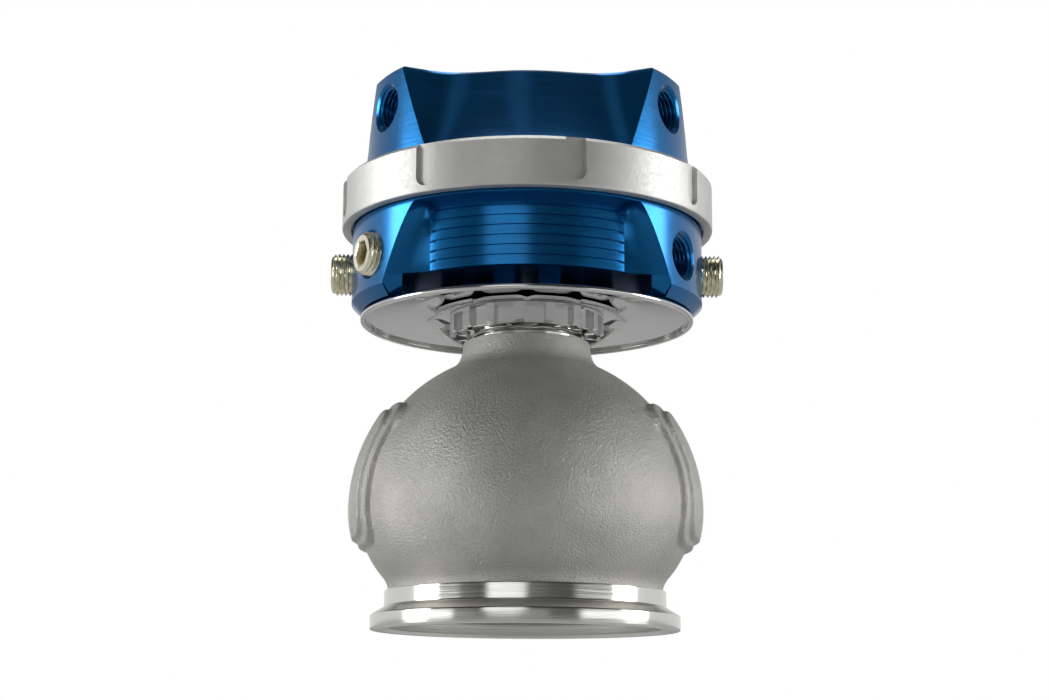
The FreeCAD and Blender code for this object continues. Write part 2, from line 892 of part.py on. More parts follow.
def lower_housing():
    body = new_body("lower_housing")
    turned(body, "turned", base_section())
    before = volume(body)
    cut = scallop(body)
    cut_check(body, before, "scallop")
    repeat_half_turn(body, "scallops", cut)
    before = volume(body)
    under_cut(body)
    cut_check(body, before, "undercut")
    posts(body)
    before = volume(body)
    band_grooves(body)
    cut_check(body, before, "grooves")
    before = volume(body)
    for name, angle in base_ports():
        port(body, name, S.base_port_height, angle, S.chamber_radius - 1.5, S.base_radius)
    cut_check(body, before, "ports")
    return body


def repeat_half_turn(body, name, original):
    pattern = body.newObject("PartDesign::PolarPattern", name)
    pattern.Originals = [original]
    pattern.Axis = z_axis(body)
    pattern.Angle = 360.0
    pattern.Occurrences = 2
    body.Tip = pattern
    return pattern


def under_cut(body):
    """Opens the skirt below the front and back bands, so that the posts can be seen."""
    half = S.base_radius * sine(S.flare_low_angle) - 4
    sketch = outline(
        body,
        "undercut",
        "XZ_Plane",
        [
            (-half, S.skirt_bottom - 1),
            (half, S.skirt_bottom - 1),
            (half, base_underside),
            (-half, base_underside),
        ],
    )
    pocket = feature(body, "Pocket", "undercut_cut", sketch, Midplane=True)
    bind(pocket, Length=S.base_radius * 2 + 2)
    return pocket


def posts(body):
    """Feet round the hub that stand on the heat shield."""
    half = S.post_angle / 2
    inner, outer = S.post_root, S.post_radius
    sketch = outline(
        body,
        "post",
        "XY_Plane",
        [
            (-(inner * sine(half)), -(inner * cosine(half))),
            (-(outer * sine(half)), -(outer * cosine(half)), outer),
            (outer * sine(half), -(outer * cosine(half))),
            (inner * sine(half), -(inner * cosine(half)), -inner),
        ],
        post_bottom,
    )
    pad = feature(body, "Pad", "post_pad", sketch)
    bind(pad, Length=S.post_height + S.base_floor / 2)
    return repeat(body, "post_ring", pad, S.posts)


def band_grooves(body):
    """Fine grooves round the two straight bands. They run out just before the flares begin."""
    reach = S.base_radius + 2
    inner = S.band_radius - S.groove_depth
    low = S.first_groove - S.groove_width / 2
    high = low + S.groove_width
    run_out = 1.2
    for name, side in (("front", -1), ("back", 1)):
        section = [
            (inner * side, low),
            (reach * side, low),
            (reach * side, high),
            (inner * side, high),
        ]
        sketch = outline(body, name + "_groove", "YZ_Plane", section)
        groove = feature(
            body,
            "Groove",
            name + "_groove_cut",
            sketch,
            ReferenceAxis=(sketch, ["V_Axis"]),
            Midplane=True,
        )
        bind(groove, Angle=(S.band_angle - run_out) * 2)
        rows = body.newObject("PartDesign::LinearPattern", name + "_grooves")
        rows.Originals = [groove]
        rows.Direction = z_axis(body)
        bind(rows, Length=(S.grooves - 1) * S.groove_pitch, Occurrences=S.grooves)
        body.Tip = rows


def base_ports():
    return [
        ("port_front_left", -S.base_port_angle),
        ("port_front_right", S.base_port_angle),
        ("port_left", Dim.of(-90)),
        ("port_right", Dim.of(90)),
    ]


def port(body, name, height, angle, inner, face, kind="Groove"):
    """A tapped port with a countersunk mouth, drilled towards the axis at one angle from the
    front. It is drawn at the thread's outer radius."""
    sink = S.port_countersink
    clear = 3
    corners = [
        (inner, 0),
        (face + clear, 0),
        (face + clear, S.port_radius + sink + clear),
        (face - sink, S.port_radius),
        (inner, S.port_radius),
    ]
    return radial_turn(body, name, corners, height, angle, kind)


# ---------------------------------------------------------------- plugs


def plug(label, angle, end):
    """Threaded plug with a hexagon socket, drawn at the thread's outer radius."""
    body = new_body(label)
    outer = S.port_radius - S.seated_clearance
    turned(
        body,
        "turned",
        [
            (0, 0),
            (outer - S.plug_chamfer, 0),
            (outer, S.plug_chamfer),
            (outer, S.plug_length - S.plug_chamfer),
            (outer - S.plug_chamfer, S.plug_length),
            (0, S.plug_length),
        ],
    )
    before = volume(body)
    hexagon = outline(body, "hexagon", "XY_Plane", hexagon_corners(S.plug_hex), S.plug_length)
    pocket = feature(body, "Pocket", "socket", hexagon)
    bind(pocket, Length=S.plug_hex_depth)
    cut_check(body, before, "socket")
    point_outwards(body, angle, end - S.plug_length, S.base_port_height)
    return body


def hexagon_corners(flats):
    """Corners of a hexagon from its size across flats."""
    reach = flats / (cosine(30) * 2)
    return [(reach * cosine(60 * turn), reach * sine(60 * turn)) for turn in range(6)]


def point_outwards(body, angle, distance, height):
    """Places a body built along +Z so that it points away from the axis at one angle."""
    turn = math.radians(Dim.of(angle).value)
    way = Vector(math.sin(turn), -math.cos(turn), 0)
    tilt = Rotation(Vector(0, 0, 1), Dim.of(angle).value) * Rotation(Vector(1, 0, 0), 90)
    body.Placement = Placement(way * distance.value + Vector(0, 0, height.value), tilt)


# ---------------------------------------------------------------- diaphragm group


def lower_plate():
    body = new_body("lower_plate")
    bore = S.stem_thread_radius + S.seated_clearance
    low, top = S.plate_bottom, S.plate_bottom + S.plate_thickness
    turned(
        body,
        "turned",
        [
            (bore, low),
            (S.plate_radius - 1.5, low),
            (S.plate_radius, low + 1.5),
            (S.plate_radius, top),
            (bore, top),
        ],
    )
    return body


def diaphragm():
    """Moulded rolling diaphragm: flat middle, a sloped wall and the bead that is clamped."""
    body = new_body("diaphragm")
    thick = S.diaphragm_thickness
    low, high = diaphragm_bottom, S.base_top
    bore = S.stem_thread_radius + S.seated_clearance
    rim = S.base_thread_radius - thick
    turned(
        body,
        "moulded",
        [
            (bore, low),
            (S.piston_radius, low),
            (S.diaphragm_roll + thick / 2, high),
            (rim, high),
            (rim, high + thick),
            (S.diaphragm_roll - thick / 2, high + thick),
            (S.piston_radius - thick, low + thick),
            (bore, low + thick),
        ],
    )
    return body


def piston():
    """Upper plate: a shallow cup that carries both springs."""
    body = new_body("piston")
    bore = S.stem_thread_radius + S.seated_clearance
    outer, inner = piston_outer, piston_inner
    top = diaphragm_top + S.piston_height
    turned(
        body,
        "turned",
        [
            (bore, diaphragm_top),
            (outer, diaphragm_top),
            (outer, top),
            (inner, top),
            (inner, piston_seat),
            (bore, piston_seat),
        ],
    )
    return body


def stem_nut():
    body = new_body("stem_nut")
    low = piston_seat + S.stem_washer_thickness
    sketch = outline(body, "hexagon", "XY_Plane", hexagon_corners(S.stem_nut_flats), low)
    bind(feature(body, "Pad", "block", sketch), Length=S.stem_nut_height)
    before = volume(body)
    hole = circle(
        body, "hole", "XY_Plane", S.stem_thread_radius + S.seated_clearance, offset=low - 1
    )
    drill = feature(body, "Pocket", "drill", hole, Reversed=True)
    bind(drill, Length=S.stem_nut_height + 2)
    cut_check(body, before, "drill")
    return body


def stem_washer():
    bore = S.stem_thread_radius + S.seated_clearance
    top = piston_seat + S.stem_washer_thickness
    return ring("stem_washer", bore, S.stem_washer_radius, piston_seat, top)


def spring(label, radius, wire, turns):
    """Compression spring between the piston and the cap's ceiling."""
    body = new_body(label)
    low = piston_seat + wire / 2
    profile = circle(body, "wire", "XZ_Plane", wire / 2, radius, low)
    coil = feature(body, "AdditiveHelix", "coil", profile, ReferenceAxis=(profile, ["V_Axis"]))
    coil.Mode = "height-turns-angle"
    bind(coil, Height=S.cap_ceiling - piston_seat - wire, Turns=turns)
    return body


# ---------------------------------------------------------------- cap and collar


def ear_corners(flat, root_half):
    """Plan of one ear, pointing along +Y: a port flat, two round corners and two sides."""
    half, corner = S.ear_flat_half_width, S.ear_corner_half_width
    shoulder = flat - S.ear_corner_back
    return [
        (root_half, S.ear_root),
        (corner, shoulder, S.ear_corner_round),
        (half, flat),
        (-half, flat, S.ear_corner_round),
        (-corner, shoulder),
        (-root_half, S.ear_root),
    ]


def actuator_cap():
    """Cap with a round hump between three ears, each with a port."""
    body = new_body("actuator_cap")
    turned(
        body,
        "turned",
        [
            (0, clamp_top),
            (S.cap_flange_radius, clamp_top),
            (S.cap_flange_radius, flange_top),
            (S.cap_radius, flange_top),
            (S.cap_radius, S.cap_ledge),
            (S.hump_radius, S.cap_ledge),
            (S.hump_radius, S.cap_top - S.cap_chamfer),
            (S.hump_radius - S.cap_chamfer, S.cap_top),
            (0, S.cap_top),
        ],
    )
    low = outline(
        body, "ear_foot", "XY_Plane", ear_corners(S.ear_flat_low, S.ear_root_low), S.cap_ledge
    )
    high = outline(
        body, "ear_head", "XY_Plane", ear_corners(S.ear_flat_high, S.ear_root_high), S.cap_top
    )
    ear = feature(body, "AdditiveLoft", "ear", low, Ruled=True)
    ear.Sections = [high]
    repeat(body, "ear_ring", ear, S.ears)
    before = volume(body)
    turned(body, "hollow", cap_hollow(), "Groove")
    cut_check(body, before, "hollow")
    before = volume(body)
    for index in range(int(S.ears.value)):
        turn = Dim.of(180) + Dim.of(360) * index / S.ears
        face = (S.ear_flat_low + S.ear_flat_high) / 2
        port(body, f"cap_port_{index}", S.cap_port_height, turn, S.cap_bore - 1.5, face)
    cut_check(body, before, "ports")
    return body


def cap_hollow():
    """Half section of the spring chamber, with a ring that locates the springs."""
    open_top = S.cap_ledge - 2
    ring_inner = inner_spring_outer + S.spring_gap
    ring_outer = inner_spring_outer + S.spring_space - S.spring_gap
    return [
        (0, clamp_top - 1),
        (S.chamber_radius, clamp_top - 1),
        (S.chamber_radius, open_top - 1),
        (S.cap_bore, open_top + 1),
        (S.cap_bore, S.cap_ceiling),
        (ring_outer, S.cap_ceiling),
        (ring_outer, S.cap_ceiling - 2),
        (ring_inner, S.cap_ceiling - 2),
        (ring_inner, S.cap_ceiling),
        (0, S.cap_ceiling),
    ]


def locking_collar():
    """Threaded ring that clamps the cap on the base, with slots for a pin spanner."""
    body = new_body("locking_collar")
    low, top = S.collar_bottom, S.collar_top
    bore = S.base_thread_radius + S.seated_clearance
    turned(
        body,
        "turned",
        [
            (S.collar_mouth_radius, low),
            (S.collar_radius - S.collar_chamfer / 2, low),
            (S.collar_radius, low + S.collar_chamfer / 2),
            (S.collar_radius, top - S.collar_chamfer),
            (S.collar_radius - S.collar_chamfer, top),
            (S.collar_lip_radius, top),
            (S.collar_lip_radius, flange_top),
            (bore, flange_top),
            (bore, low + S.collar_mouth),
            (S.collar_mouth_radius, low + S.collar_mouth),
        ],
    )
    before = volume(body)
    half = S.collar_slot_width / 2
    floor = low + S.collar_slot_bottom
    slot = outline(
        body,
        "slot",
        "XZ_Plane",
        [
            (-half, floor + half, half * 1.0001),
            (half, floor + half),
            (half, top + 1),
            (-half, top + 1),
        ],
        S.collar_radius + 1,
    )
    pocket = feature(body, "Pocket", "slot_cut", slot)
    bind(pocket, Length=S.collar_slot_depth + 1)
    repeat(body, "slots", pocket, S.collar_slots)
    cut_check(body, before, "slots")
    turn = Rotation(Vector(0, 0, 1), S.collar_turn.value)
    body.Placement = Placement(Vector(), turn)
    return body


# ---------------------------------------------------------------- build and write


def build():
    parts = [
        valve_housing(),
        seat_ring(),
        valve(),
        *stem_parts(),
        castellated_nut(),
        star_washer(),
        heat_shield(),
        lower_housing(),
        plug("plug_front_left", -S.base_port_angle, S.front_plug_end),
        plug("plug_left", -90, S.side_plug_end),
        plug("plug_right", 90, S.side_plug_end),
        lower_plate(),
        diaphragm(),
        piston(),
        stem_washer(),
        stem_nut(),
        spring("outer_spring", S.outer_spring_radius, S.outer_spring_wire, S.outer_spring_turns),
        spring("inner_spring", S.inner_spring_radius, S.inner_spring_wire, S.inner_spring_turns),
        actuator_cap(),
        locking_collar(),
    ]
    doc.recompute()
    for item in doc.Objects:
        if {"Invalid", "Error"} & set(item.State):
            raise RuntimeError(f"{item.Label} did not build: {item.State}")
    for item in parts:
        if item.Shape.isNull() or not item.Shape.isValid():
            raise RuntimeError(f"{item.Label} has no valid shape")
    return parts


def write(parts):
    os.makedirs("parts", exist_ok=True)
    for item in parts:
        item.Shape.exportStep(f"parts/{item.Label}.step")
        solids = len(item.Shape.Solids)
        print(f"{item.Label}: {solids} solid, {item.Shape.Volume:.1f} mm3")


write(build())
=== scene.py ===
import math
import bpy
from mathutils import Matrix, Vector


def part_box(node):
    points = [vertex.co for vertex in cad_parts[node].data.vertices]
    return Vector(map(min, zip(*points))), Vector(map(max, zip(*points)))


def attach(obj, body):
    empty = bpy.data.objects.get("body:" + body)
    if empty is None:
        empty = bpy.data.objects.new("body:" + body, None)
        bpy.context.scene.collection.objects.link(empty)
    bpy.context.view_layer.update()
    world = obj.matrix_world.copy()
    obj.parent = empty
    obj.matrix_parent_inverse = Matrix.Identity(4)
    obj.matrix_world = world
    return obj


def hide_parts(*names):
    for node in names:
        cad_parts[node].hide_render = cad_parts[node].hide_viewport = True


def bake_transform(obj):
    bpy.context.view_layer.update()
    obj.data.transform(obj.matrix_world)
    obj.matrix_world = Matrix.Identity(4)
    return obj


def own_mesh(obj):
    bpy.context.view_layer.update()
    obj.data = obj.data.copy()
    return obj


bl_info = {
    "name": "Wastegate finish",
    "version": (1, 0, 0),
    "blender": (4, 5, 0),
    "location": "3D View > Sidebar > Wastegate",
    "description": "Finished surfaces for an external wastegate, built round its CAD frame",
    "category": "Object",
}

import bmesh
import bpy
import numpy as np
from mathutils import Euler, Vector

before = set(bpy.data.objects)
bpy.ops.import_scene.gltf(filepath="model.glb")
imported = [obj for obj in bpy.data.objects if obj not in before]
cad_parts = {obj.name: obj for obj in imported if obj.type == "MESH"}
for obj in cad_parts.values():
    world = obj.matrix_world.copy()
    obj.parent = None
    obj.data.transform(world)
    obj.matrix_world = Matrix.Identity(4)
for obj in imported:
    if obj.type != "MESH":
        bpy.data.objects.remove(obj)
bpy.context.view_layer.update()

# Everything below is in millimetres until skin() writes a mesh. Heights run up the valve's
# axis from the inlet's face, and an azimuth is in degrees from the front, -Y, towards +X.

MM = 0.001

# ------------------------------------------------------------------ plan geometry


def polar(radius, azimuth, height):
    """Points from a radius, an azimuth and a height, as one array of x, y, z."""
    radius, azimuth, height = np.broadcast_arrays(radius, azimuth, height)
    turn = np.radians(azimuth)
    return np.stack([radius * np.sin(turn), -radius * np.cos(turn), height], axis=-1)


def facing(azimuth, across, up, out):
    """Points beside a level line that points outwards at an azimuth: across runs to the right
    of someone who looks at the face, up is a height, and out is the distance from the axis."""
    across, up, out = np.broadcast_arrays(across, up, out)
    turn = math.radians(azimuth)
    x = out * math.sin(turn) + across * math.cos(turn)
    y = -out * math.cos(turn) + across * math.sin(turn)
    return np.stack([x, y, up], axis=-1)


def spun(points, angle):
    """Points turned about the axis by an angle, in the sense of an azimuth."""
    turn = math.radians(angle)
    x = points[..., 0] * math.cos(turn) - points[..., 1] * math.sin(turn)
    y = points[..., 0] * math.sin(turn) + points[..., 1] * math.cos(turn)
    return np.stack([x, y, points[..., 2]], axis=-1)


def hoop(azimuth, height, radius, turn, out):
    """Points round a level line that points outwards at an azimuth: a radius and a turn about
    the line, and the distance from the axis."""
    return facing(azimuth, radius * np.cos(turn), height + radius * np.sin(turn), out)


def within(values, low, high):
    """Which values lie between two limits, with room for rounding."""
    return (values >= low - 1e-6) & (values <= high + 1e-6)


def softened(corners, radius, steps=3):
    """A line of corners with each one rounded: the corner is the control point of a quadratic
    curve that starts and ends at most the radius away, or half way along a short side."""
    corners = np.asarray(corners, float)
    if not radius:
        return corners
    path = [corners[0]]
    for before, here, after in zip(corners[:-2], corners[1:-1], corners[2:]):
        back, on = before - here, after - here
        back_length, on_length = np.linalg.norm(back), np.linalg.norm(on)
        start = here + back / back_length * min(radius, back_length / 2)
        end = here + on / on_length * min(radius, on_length / 2)
        share = np.linspace(0, 1, steps + 1)[:, None]
        path.extend((1 - share) ** 2 * start + 2 * share * (1 - share) * here + share**2 * end)
    path.append(corners[-1])
    return np.array(path)


def turned(corners, steps=240, soft=0.25):
    """A turned surface: the softened (radius, height) section repeated round the axis."""
    section = softened(corners, soft)
    azimuth = np.linspace(0.0, 360.0, steps + 1)
    return polar(section[:, :1], azimuth[None, :], section[:, 1:])


def radial_turned(azimuth, height, corners, steps, soft):
    """The same about a level line that points outwards: corners are (distance out, radius)."""
    section = softened(corners, soft)
    turn = np.linspace(0, 2 * np.pi, steps + 1)[None, :]
    return hoop(azimuth, height, section[:, 1:], turn, section[:, :1])


def thread_wave(travel):
    """Thread form over one pitch: straight flanks with a narrow flat at crest and root."""
    wave = np.abs((travel % 1.0) * 2 - 1)
    return np.clip(wave * 1.35 - 0.175, 0, 1)


def skin(name, patches, polygons=(), sharp=35.0):
    """One mesh from grids of points (rows, columns, xyz) and single flat polygons. Points
    that coincide are merged, collapsed faces go, and the faces are turned outwards."""
    points, faces, start = [], [], 0
    for patch in patches:
        rows, columns = patch.shape[:2]
        index = start + np.arange(rows * columns).reshape(rows, columns)
        quads = np.stack([index[:-1, :-1], index[:-1, 1:], index[1:, 1:], index[1:, :-1]], axis=-1)
        points.append(patch.reshape(-1, 3))
        faces.extend(quads.reshape(-1, 4).tolist())
        start += rows * columns
    for polygon in polygons:
        points.append(polygon)
        faces.append(list(range(start, start + len(polygon))))
        start += len(polygon)
    mesh = bpy.data.meshes.new(name)
    mesh.from_pydata((np.concatenate(points) * MM).tolist(), [], faces)
    work = bmesh.new()
    work.from_mesh(mesh)
    bmesh.ops.remove_doubles(work, verts=work.verts, dist=2e-6)
    bmesh.ops.dissolve_degenerate(work, edges=work.edges, dist=1e-7)
    bmesh.ops.recalc_face_normals(work, faces=work.faces)
    work.to_mesh(mesh)
    work.free()
    mesh.shade_smooth()
    mesh.set_sharp_from_angle(angle=math.radians(sharp))
    made = bpy.data.objects.new(name, mesh)
    bpy.context.scene.collection.objects.link(made)
    return made


def fit(made, body, slot, material, *nodes):
    """Gives a piece its material and its body, and hides the CAD nodes that it stands for."""
    made.data.materials.append(material)
    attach(made, body)
    if nodes:
        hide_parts(*nodes)
    return made


# ------------------------------------------------------------------ ports and plugs

PORT_RADIUS = 5.0
PORT_SINK = 0.75
THREAD_PITCH = 1.0
THREAD_DEPTH = 0.54
SOCKET_DEPTH = 5.2


def port_patch(surface, across, heights, centre_height, rim):
    """Fills a rectangle of a wall round a port: rings that pass from the rectangle's edge to
    the port's rim. surface(across, height) gives the wall's points."""
    bottom = [(a, heights[0]) for a in across[:-1]]
    right = [(across[-1], h) for h in heights[:-1]]
    top = [(a, heights[-1]) for a in across[:0:-1]]
    left = [(across[0], h) for h in heights[:0:-1]]
    edge = np.array(bottom + right + top + left + bottom[:1])
    turn = np.arctan2(edge[:, 1] - centre_height, edge[:, 0])
    circle = np.stack([rim * np.cos(turn), centre_height + rim * np.sin(turn)], axis=-1)
    share = np.linspace(0, 1, 5)[:, None, None] ** 1.3
    plan = circle[None] * share + edge[None] * (1 - share)
    return surface(plan[..., 0], plan[..., 1]), turn


def countersink(surface, azimuth, height, turn, face):
    """The cone from a port's rim on the wall down to its thread."""
    rim = PORT_RADIUS + PORT_SINK
    outer = surface(rim * np.cos(turn), height + rim * np.sin(turn))
    inner = hoop(azimuth, height, PORT_RADIUS, turn, face - PORT_SINK)
    lip = surface((rim - 0.12) * np.cos(turn), height + (rim - 0.12) * np.sin(turn))
    return np.stack([outer, outer * 0.3 + inner * 0.7 + (lip - outer) * 0.2, inner])


def tapped_wall(azimuth, height, outer, inner, turn):
    """The threaded wall of a port: its radius falls to the crests of an inside thread."""
    rows = int((outer - inner) / THREAD_PITCH * 10)
    out = np.linspace(outer, inner, rows)[:, None]
    travel = out / THREAD_PITCH + turn[None, :] / (2 * np.pi)
    lead = np.clip((outer - out) / 0.6, 0, 1)
    return hoop(azimuth, height, PORT_RADIUS - THREAD_DEPTH * thread_wave(travel) * lead, turn, out)


def tapped_port(surface, azimuth, across, heights, centre, face, end):
    """A port with the wall round it, its countersink and its thread, from the wall's face in
    to its end."""
    wall, turn = port_patch(surface, across, heights, centre, PORT_RADIUS + PORT_SINK)
    return [
        wall,
        countersink(surface, azimuth, centre, turn, face),
        tapped_wall(azimuth, centre, face - PORT_SINK, end, turn),
    ]


def plug_patches(azimuth, height, end, length, flats, depth):
    """A threaded plug: thread, chamfered ends, and a hexagon socket with a drilled bottom."""
    radius = PORT_RADIUS - 0.03
    chamfer = 0.45
    turn = np.linspace(0, 2 * np.pi, 97)
    low, high = end - length, end - chamfer
    out = np.linspace(low, high, int(length / THREAD_PITCH * 12))[:, None]
    ends = np.clip(np.minimum(out - low, high - out) / 0.35, 0, 1)
    wave = thread_wave(out / THREAD_PITCH + 0.25 + turn[None, :] / (2 * np.pi))
    reach = radius - THREAD_DEPTH * (1 - wave * ends)
    thread = hoop(azimuth, height, reach, turn, out)
    side = np.degrees(turn) % 60 - 30
    hexagon = flats / 2 / np.cos(np.radians(side))

    root = radius - THREAD_DEPTH
    face = [(root, high), (root - 0.1, high + 0.3), (root - 0.3, end), (hexagon + 0.35, end),
            (hexagon + 0.1, end - 0.12), (hexagon, end - 0.4), (hexagon, end - depth),
            (flats / 2 * 0.96, end - depth), (0.001, end - depth - 1.3)]
    back = [(root, low), (0.001, low)]
    return [thread] + [np.stack([hoop(azimuth, height, reach, turn, out) for reach, out in part])
                       for part in (face, back)]


# ------------------------------------------------------------------ materials


def material(name, values):
    """A new node material with its shader's plain values; returns it, its tree, its shader."""
    made = bpy.data.materials.new(name)
    made.use_nodes = True
    shader = made.node_tree.nodes["Principled BSDF"]
    feed(made.node_tree, shader, values)
    return made, made.node_tree, shader


def feed(tree, made, values):
    """Fills a node's inputs: another node's output is linked, a plain value is written."""
    for socket, value in dict(values).items():
        if isinstance(value, bpy.types.NodeSocket):
            tree.links.new(value, made.inputs[socket])
        else:
            made.inputs[socket].default_value = value


def node(tree, kind, values=(), **settings):
    """A new node with its properties set and its inputs filled."""
    made = tree.nodes.new(kind)
    for prop, value in settings.items():
        setattr(made, prop, value)
    feed(tree, made, values)
    return made


def object_space(tree, scale=(1, 1, 1)):
    """Object coordinates, stretched."""
    place = node(tree, "ShaderNodeTexCoord").outputs["Object"]
    return node(tree, "ShaderNodeMapping", {"Vector": place, "Scale": scale}).outputs["Vector"]


def noise(tree, vector, scale, detail, rough=0.55):
    """The value of a noise texture over a vector."""
    values = {"Vector": vector, "Scale": scale, "Detail": detail, "Roughness": rough}
    return node(tree, "ShaderNodeTexNoise", values).outputs["Fac"]


def ramp(tree, value, stops):
    """A colour ramp from (place, colour) stops."""
    made = node(tree, "ShaderNodeValToRGB", {"Fac": value})
    elements = made.color_ramp.elements
    while len(elements) < len(stops):
        elements.new(0.5)
    for element, (place, colour) in zip(elements, stops):
        element.position = place
        element.color = (*colour, 1)
    return made.outputs["Color"]


def grey(level):
    """A grey as a colour."""
    return (level, level, level)


def mixed(tree, first, second, factor=1.0, blend="MULTIPLY"):
    """Two colours mixed, or the second multiplied into the first. A colour mix has its factor
    in input 0, its colours in 6 and 7 and its result in output 2."""
    values = {0: factor, 6: first, 7: second}
    return node(tree, "ShaderNodeMix", values, data_type="RGBA", blend_type=blend).outputs[2]


def tinted(tree, shader, value, colour, dark, light, places=(0.3, 0.7)):
    """A base colour that runs from a darker to a lighter tone of one colour with a value."""
    tones = [tuple(min(1, part * share) for part in colour) for share in (dark, light)]
    feed(tree, shader, {"Base Color": ramp(tree, value, list(zip(places, tones)))})


def roughened(tree, shader, value, low, high, places=(0.3, 0.7)):
    """A roughness that runs between two levels with a value."""
    levels = [grey(min(1, low)), grey(min(1, high))]
    feed(tree, shader, {"Roughness": ramp(tree, value, list(zip(places, levels)))})


def bump(tree, shader, height, distance, below=None):
    """Adds a bump, over an earlier one if given."""
    values = {"Height": height, "Distance": distance, "Strength": 1.0}
    if below is not None:
        values["Normal"] = below
    normal = node(tree, "ShaderNodeBump", values).outputs["Normal"]
    feed(tree, shader, {"Normal": normal})
    return normal


def cast_steel(colour, grain):
    """Bead-blasted stainless casting: grey with a fine sandy grain and soft mottling."""
    made, tree, shader = material("cast steel", {"Metallic": 0.8})
    space = object_space(tree)
    mottling = noise(tree, space, 70, 5, 0.6)
    dark, pale = tuple(c * 0.84 for c in colour), tuple(min(1, c * 1.08) for c in colour)
    tone = ramp(tree, mottling, [(0.3, dark), (0.7, pale)])
    sand = noise(tree, space, 2600, 3, 0.7)
    speckle = ramp(tree, sand, [(0.34, grey(0.78)), (0.5, grey(0.97)), (0.64, grey(1.0))])
    feed(tree, shader, {"Base Color": mixed(tree, tone, speckle, 0.8)})
    roughened(tree, shader, sand, 0.40, 0.52)
    coarse = bump(tree, shader, noise(tree, space, 1400, 3, 0.6), grain * 0.85)
    bump(tree, shader, sand, grain, below=coarse)
    return made


def turned_metal(name, colour, roughness, depth=0.00002, upright=True):
    """Metal turned on a lathe: fine rings round the axis in its bump and roughness, and
    highlights drawn out across them. The axis is upright, or else runs along Y."""
    values = {"Base Color": (*colour, 1), "Metallic": 1.0, "Anisotropic": 0.75,
              "Anisotropic Rotation": 0.25}
    made, tree, shader = material(name, values)
    around = node(tree, "ShaderNodeTangent", direction_type="RADIAL", axis="Z" if upright else "Y")
    feed(tree, shader, {"Tangent": around.outputs["Tangent"]})
    scale = (0.02, 0.02, 1) if upright else (1, 0.02, 1)
    lines = noise(tree, object_space(tree, scale), 2600, 3, 0.6)
    roughened(tree, shader, lines, roughness * 0.8, roughness * 1.3)
    bump(tree, shader, lines, depth)
    return made


def anodised(name, colour, roughness):
    """Dyed anodised aluminium: tinted metal under a thin clear layer, with turning lines."""
    values = {"Metallic": 0.8, "Coat Weight": 0.12, "Coat Roughness": 0.1}
    made, tree, shader = material(name, values)
    space = object_space(tree, (0.03, 0.03, 1))
    lines = noise(tree, space, 2200, 3, 0.6)
    tone = noise(tree, object_space(tree), 60, 2)
    tinted(tree, shader, tone, colour, 0.88, 1.1, (0.35, 0.65))
    roughened(tree, shader, lines, roughness * 0.85, roughness * 1.2)
    bump(tree, shader, lines, 0.000012)
    return made


def satin_aluminium(colour):
    """Clear anodised aluminium with a blasted, silky surface."""
    made, tree, shader = material("satin aluminium", {"Metallic": 0.75})
    space = object_space(tree)
    tinted(tree, shader, noise(tree, space, 160, 4), colour, 0.94, 1.04)
    roughened(tree, shader, noise(tree, space, 900, 2), 0.44, 0.54)
    bump(tree, shader, noise(tree, space, 1400, 2), 0.00003)
    return made


def polished_sheet(colour):
    """Polished stainless sheet with faint spinning rings."""
    values = {"Base Color": (*colour, 1), "Metallic": 1.0}
    made, tree, shader = material("polished sheet", values)
    waves = {"Vector": object_space(tree), "Scale": 60, "Distortion": 1.0, "Detail": 2,
             "Detail Scale": 1.5}
    rings = node(tree, "ShaderNodeTexWave", waves, wave_type="RINGS", rings_direction="Z")
    roughened(tree, shader, rings.outputs["Fac"], 0.05, 0.09, (0.2, 0.8))
    return made


def plated(colour):
    """Bright nickel plate, a little uneven."""
    made, tree, shader = material("nickel plate", {"Metallic": 1.0, "Roughness": 0.2})
    tone = noise(tree, object_space(tree), 500, 3)
    tinted(tree, shader, tone, colour, 0.86, 1.0, (0.35, 0.65))
    bump(tree, shader, tone, 0.00003)
    return made


def rubbery(name, colour):
    """Dull rubber with the faint print of a weave."""
    made, tree, shader = material(name, {"Roughness": 0.6})
    weave = noise(tree, object_space(tree), 900, 2)
    tinted(tree, shader, weave, colour, 0.8, 1.0)
    bump(tree, shader, weave, 0.0001)
    return made


# ------------------------------------------------------------------ casting

BALL_CENTRE = 27.3
BALL_RADIUS = 36.9
BALL_OFFSET = 1.8
BELLY_RADIUS = 22.95
FOOT_RADIUS = 31.6
NECK_RADIUS = 14.8
NECK_TOP = 67.0
WALL = 3.6
SEAT_POCKET = 28.6
BOSS_RADIUS = 11.5
BOSS_END = 44
GUIDE_BORE = 8.02
OUTLET_HEIGHT = 35.5
OUTLET_TUBE = 28.2
OUTLET_BORE = 24.6
OUTLET_FACE = 52.0
OUTLET_STUB = 4.0
CHAMBER_STUB = 7.5
PLATE_MIDDLE = 34.5
PLATE_HALF = (17.0, 16.0)
PLATE_CORNER = 5.0
PLATE_STEPS = ((1.4, 0.0, 1.0), (1.0, 2.0, 0.9))  # rise, inset, width of the edge
NECK_FILLET = 7.0
FOOT_FILLET = 1.6
TUBE_FILLET = 4.0


def blend_out(a, b, width):
    """The larger of two reaches, rounded where they cross over the given width."""
    near = np.clip(1 - np.abs(a - b) / width, 0, 1)
    return np.maximum(a, b) + near**2 * width / 4


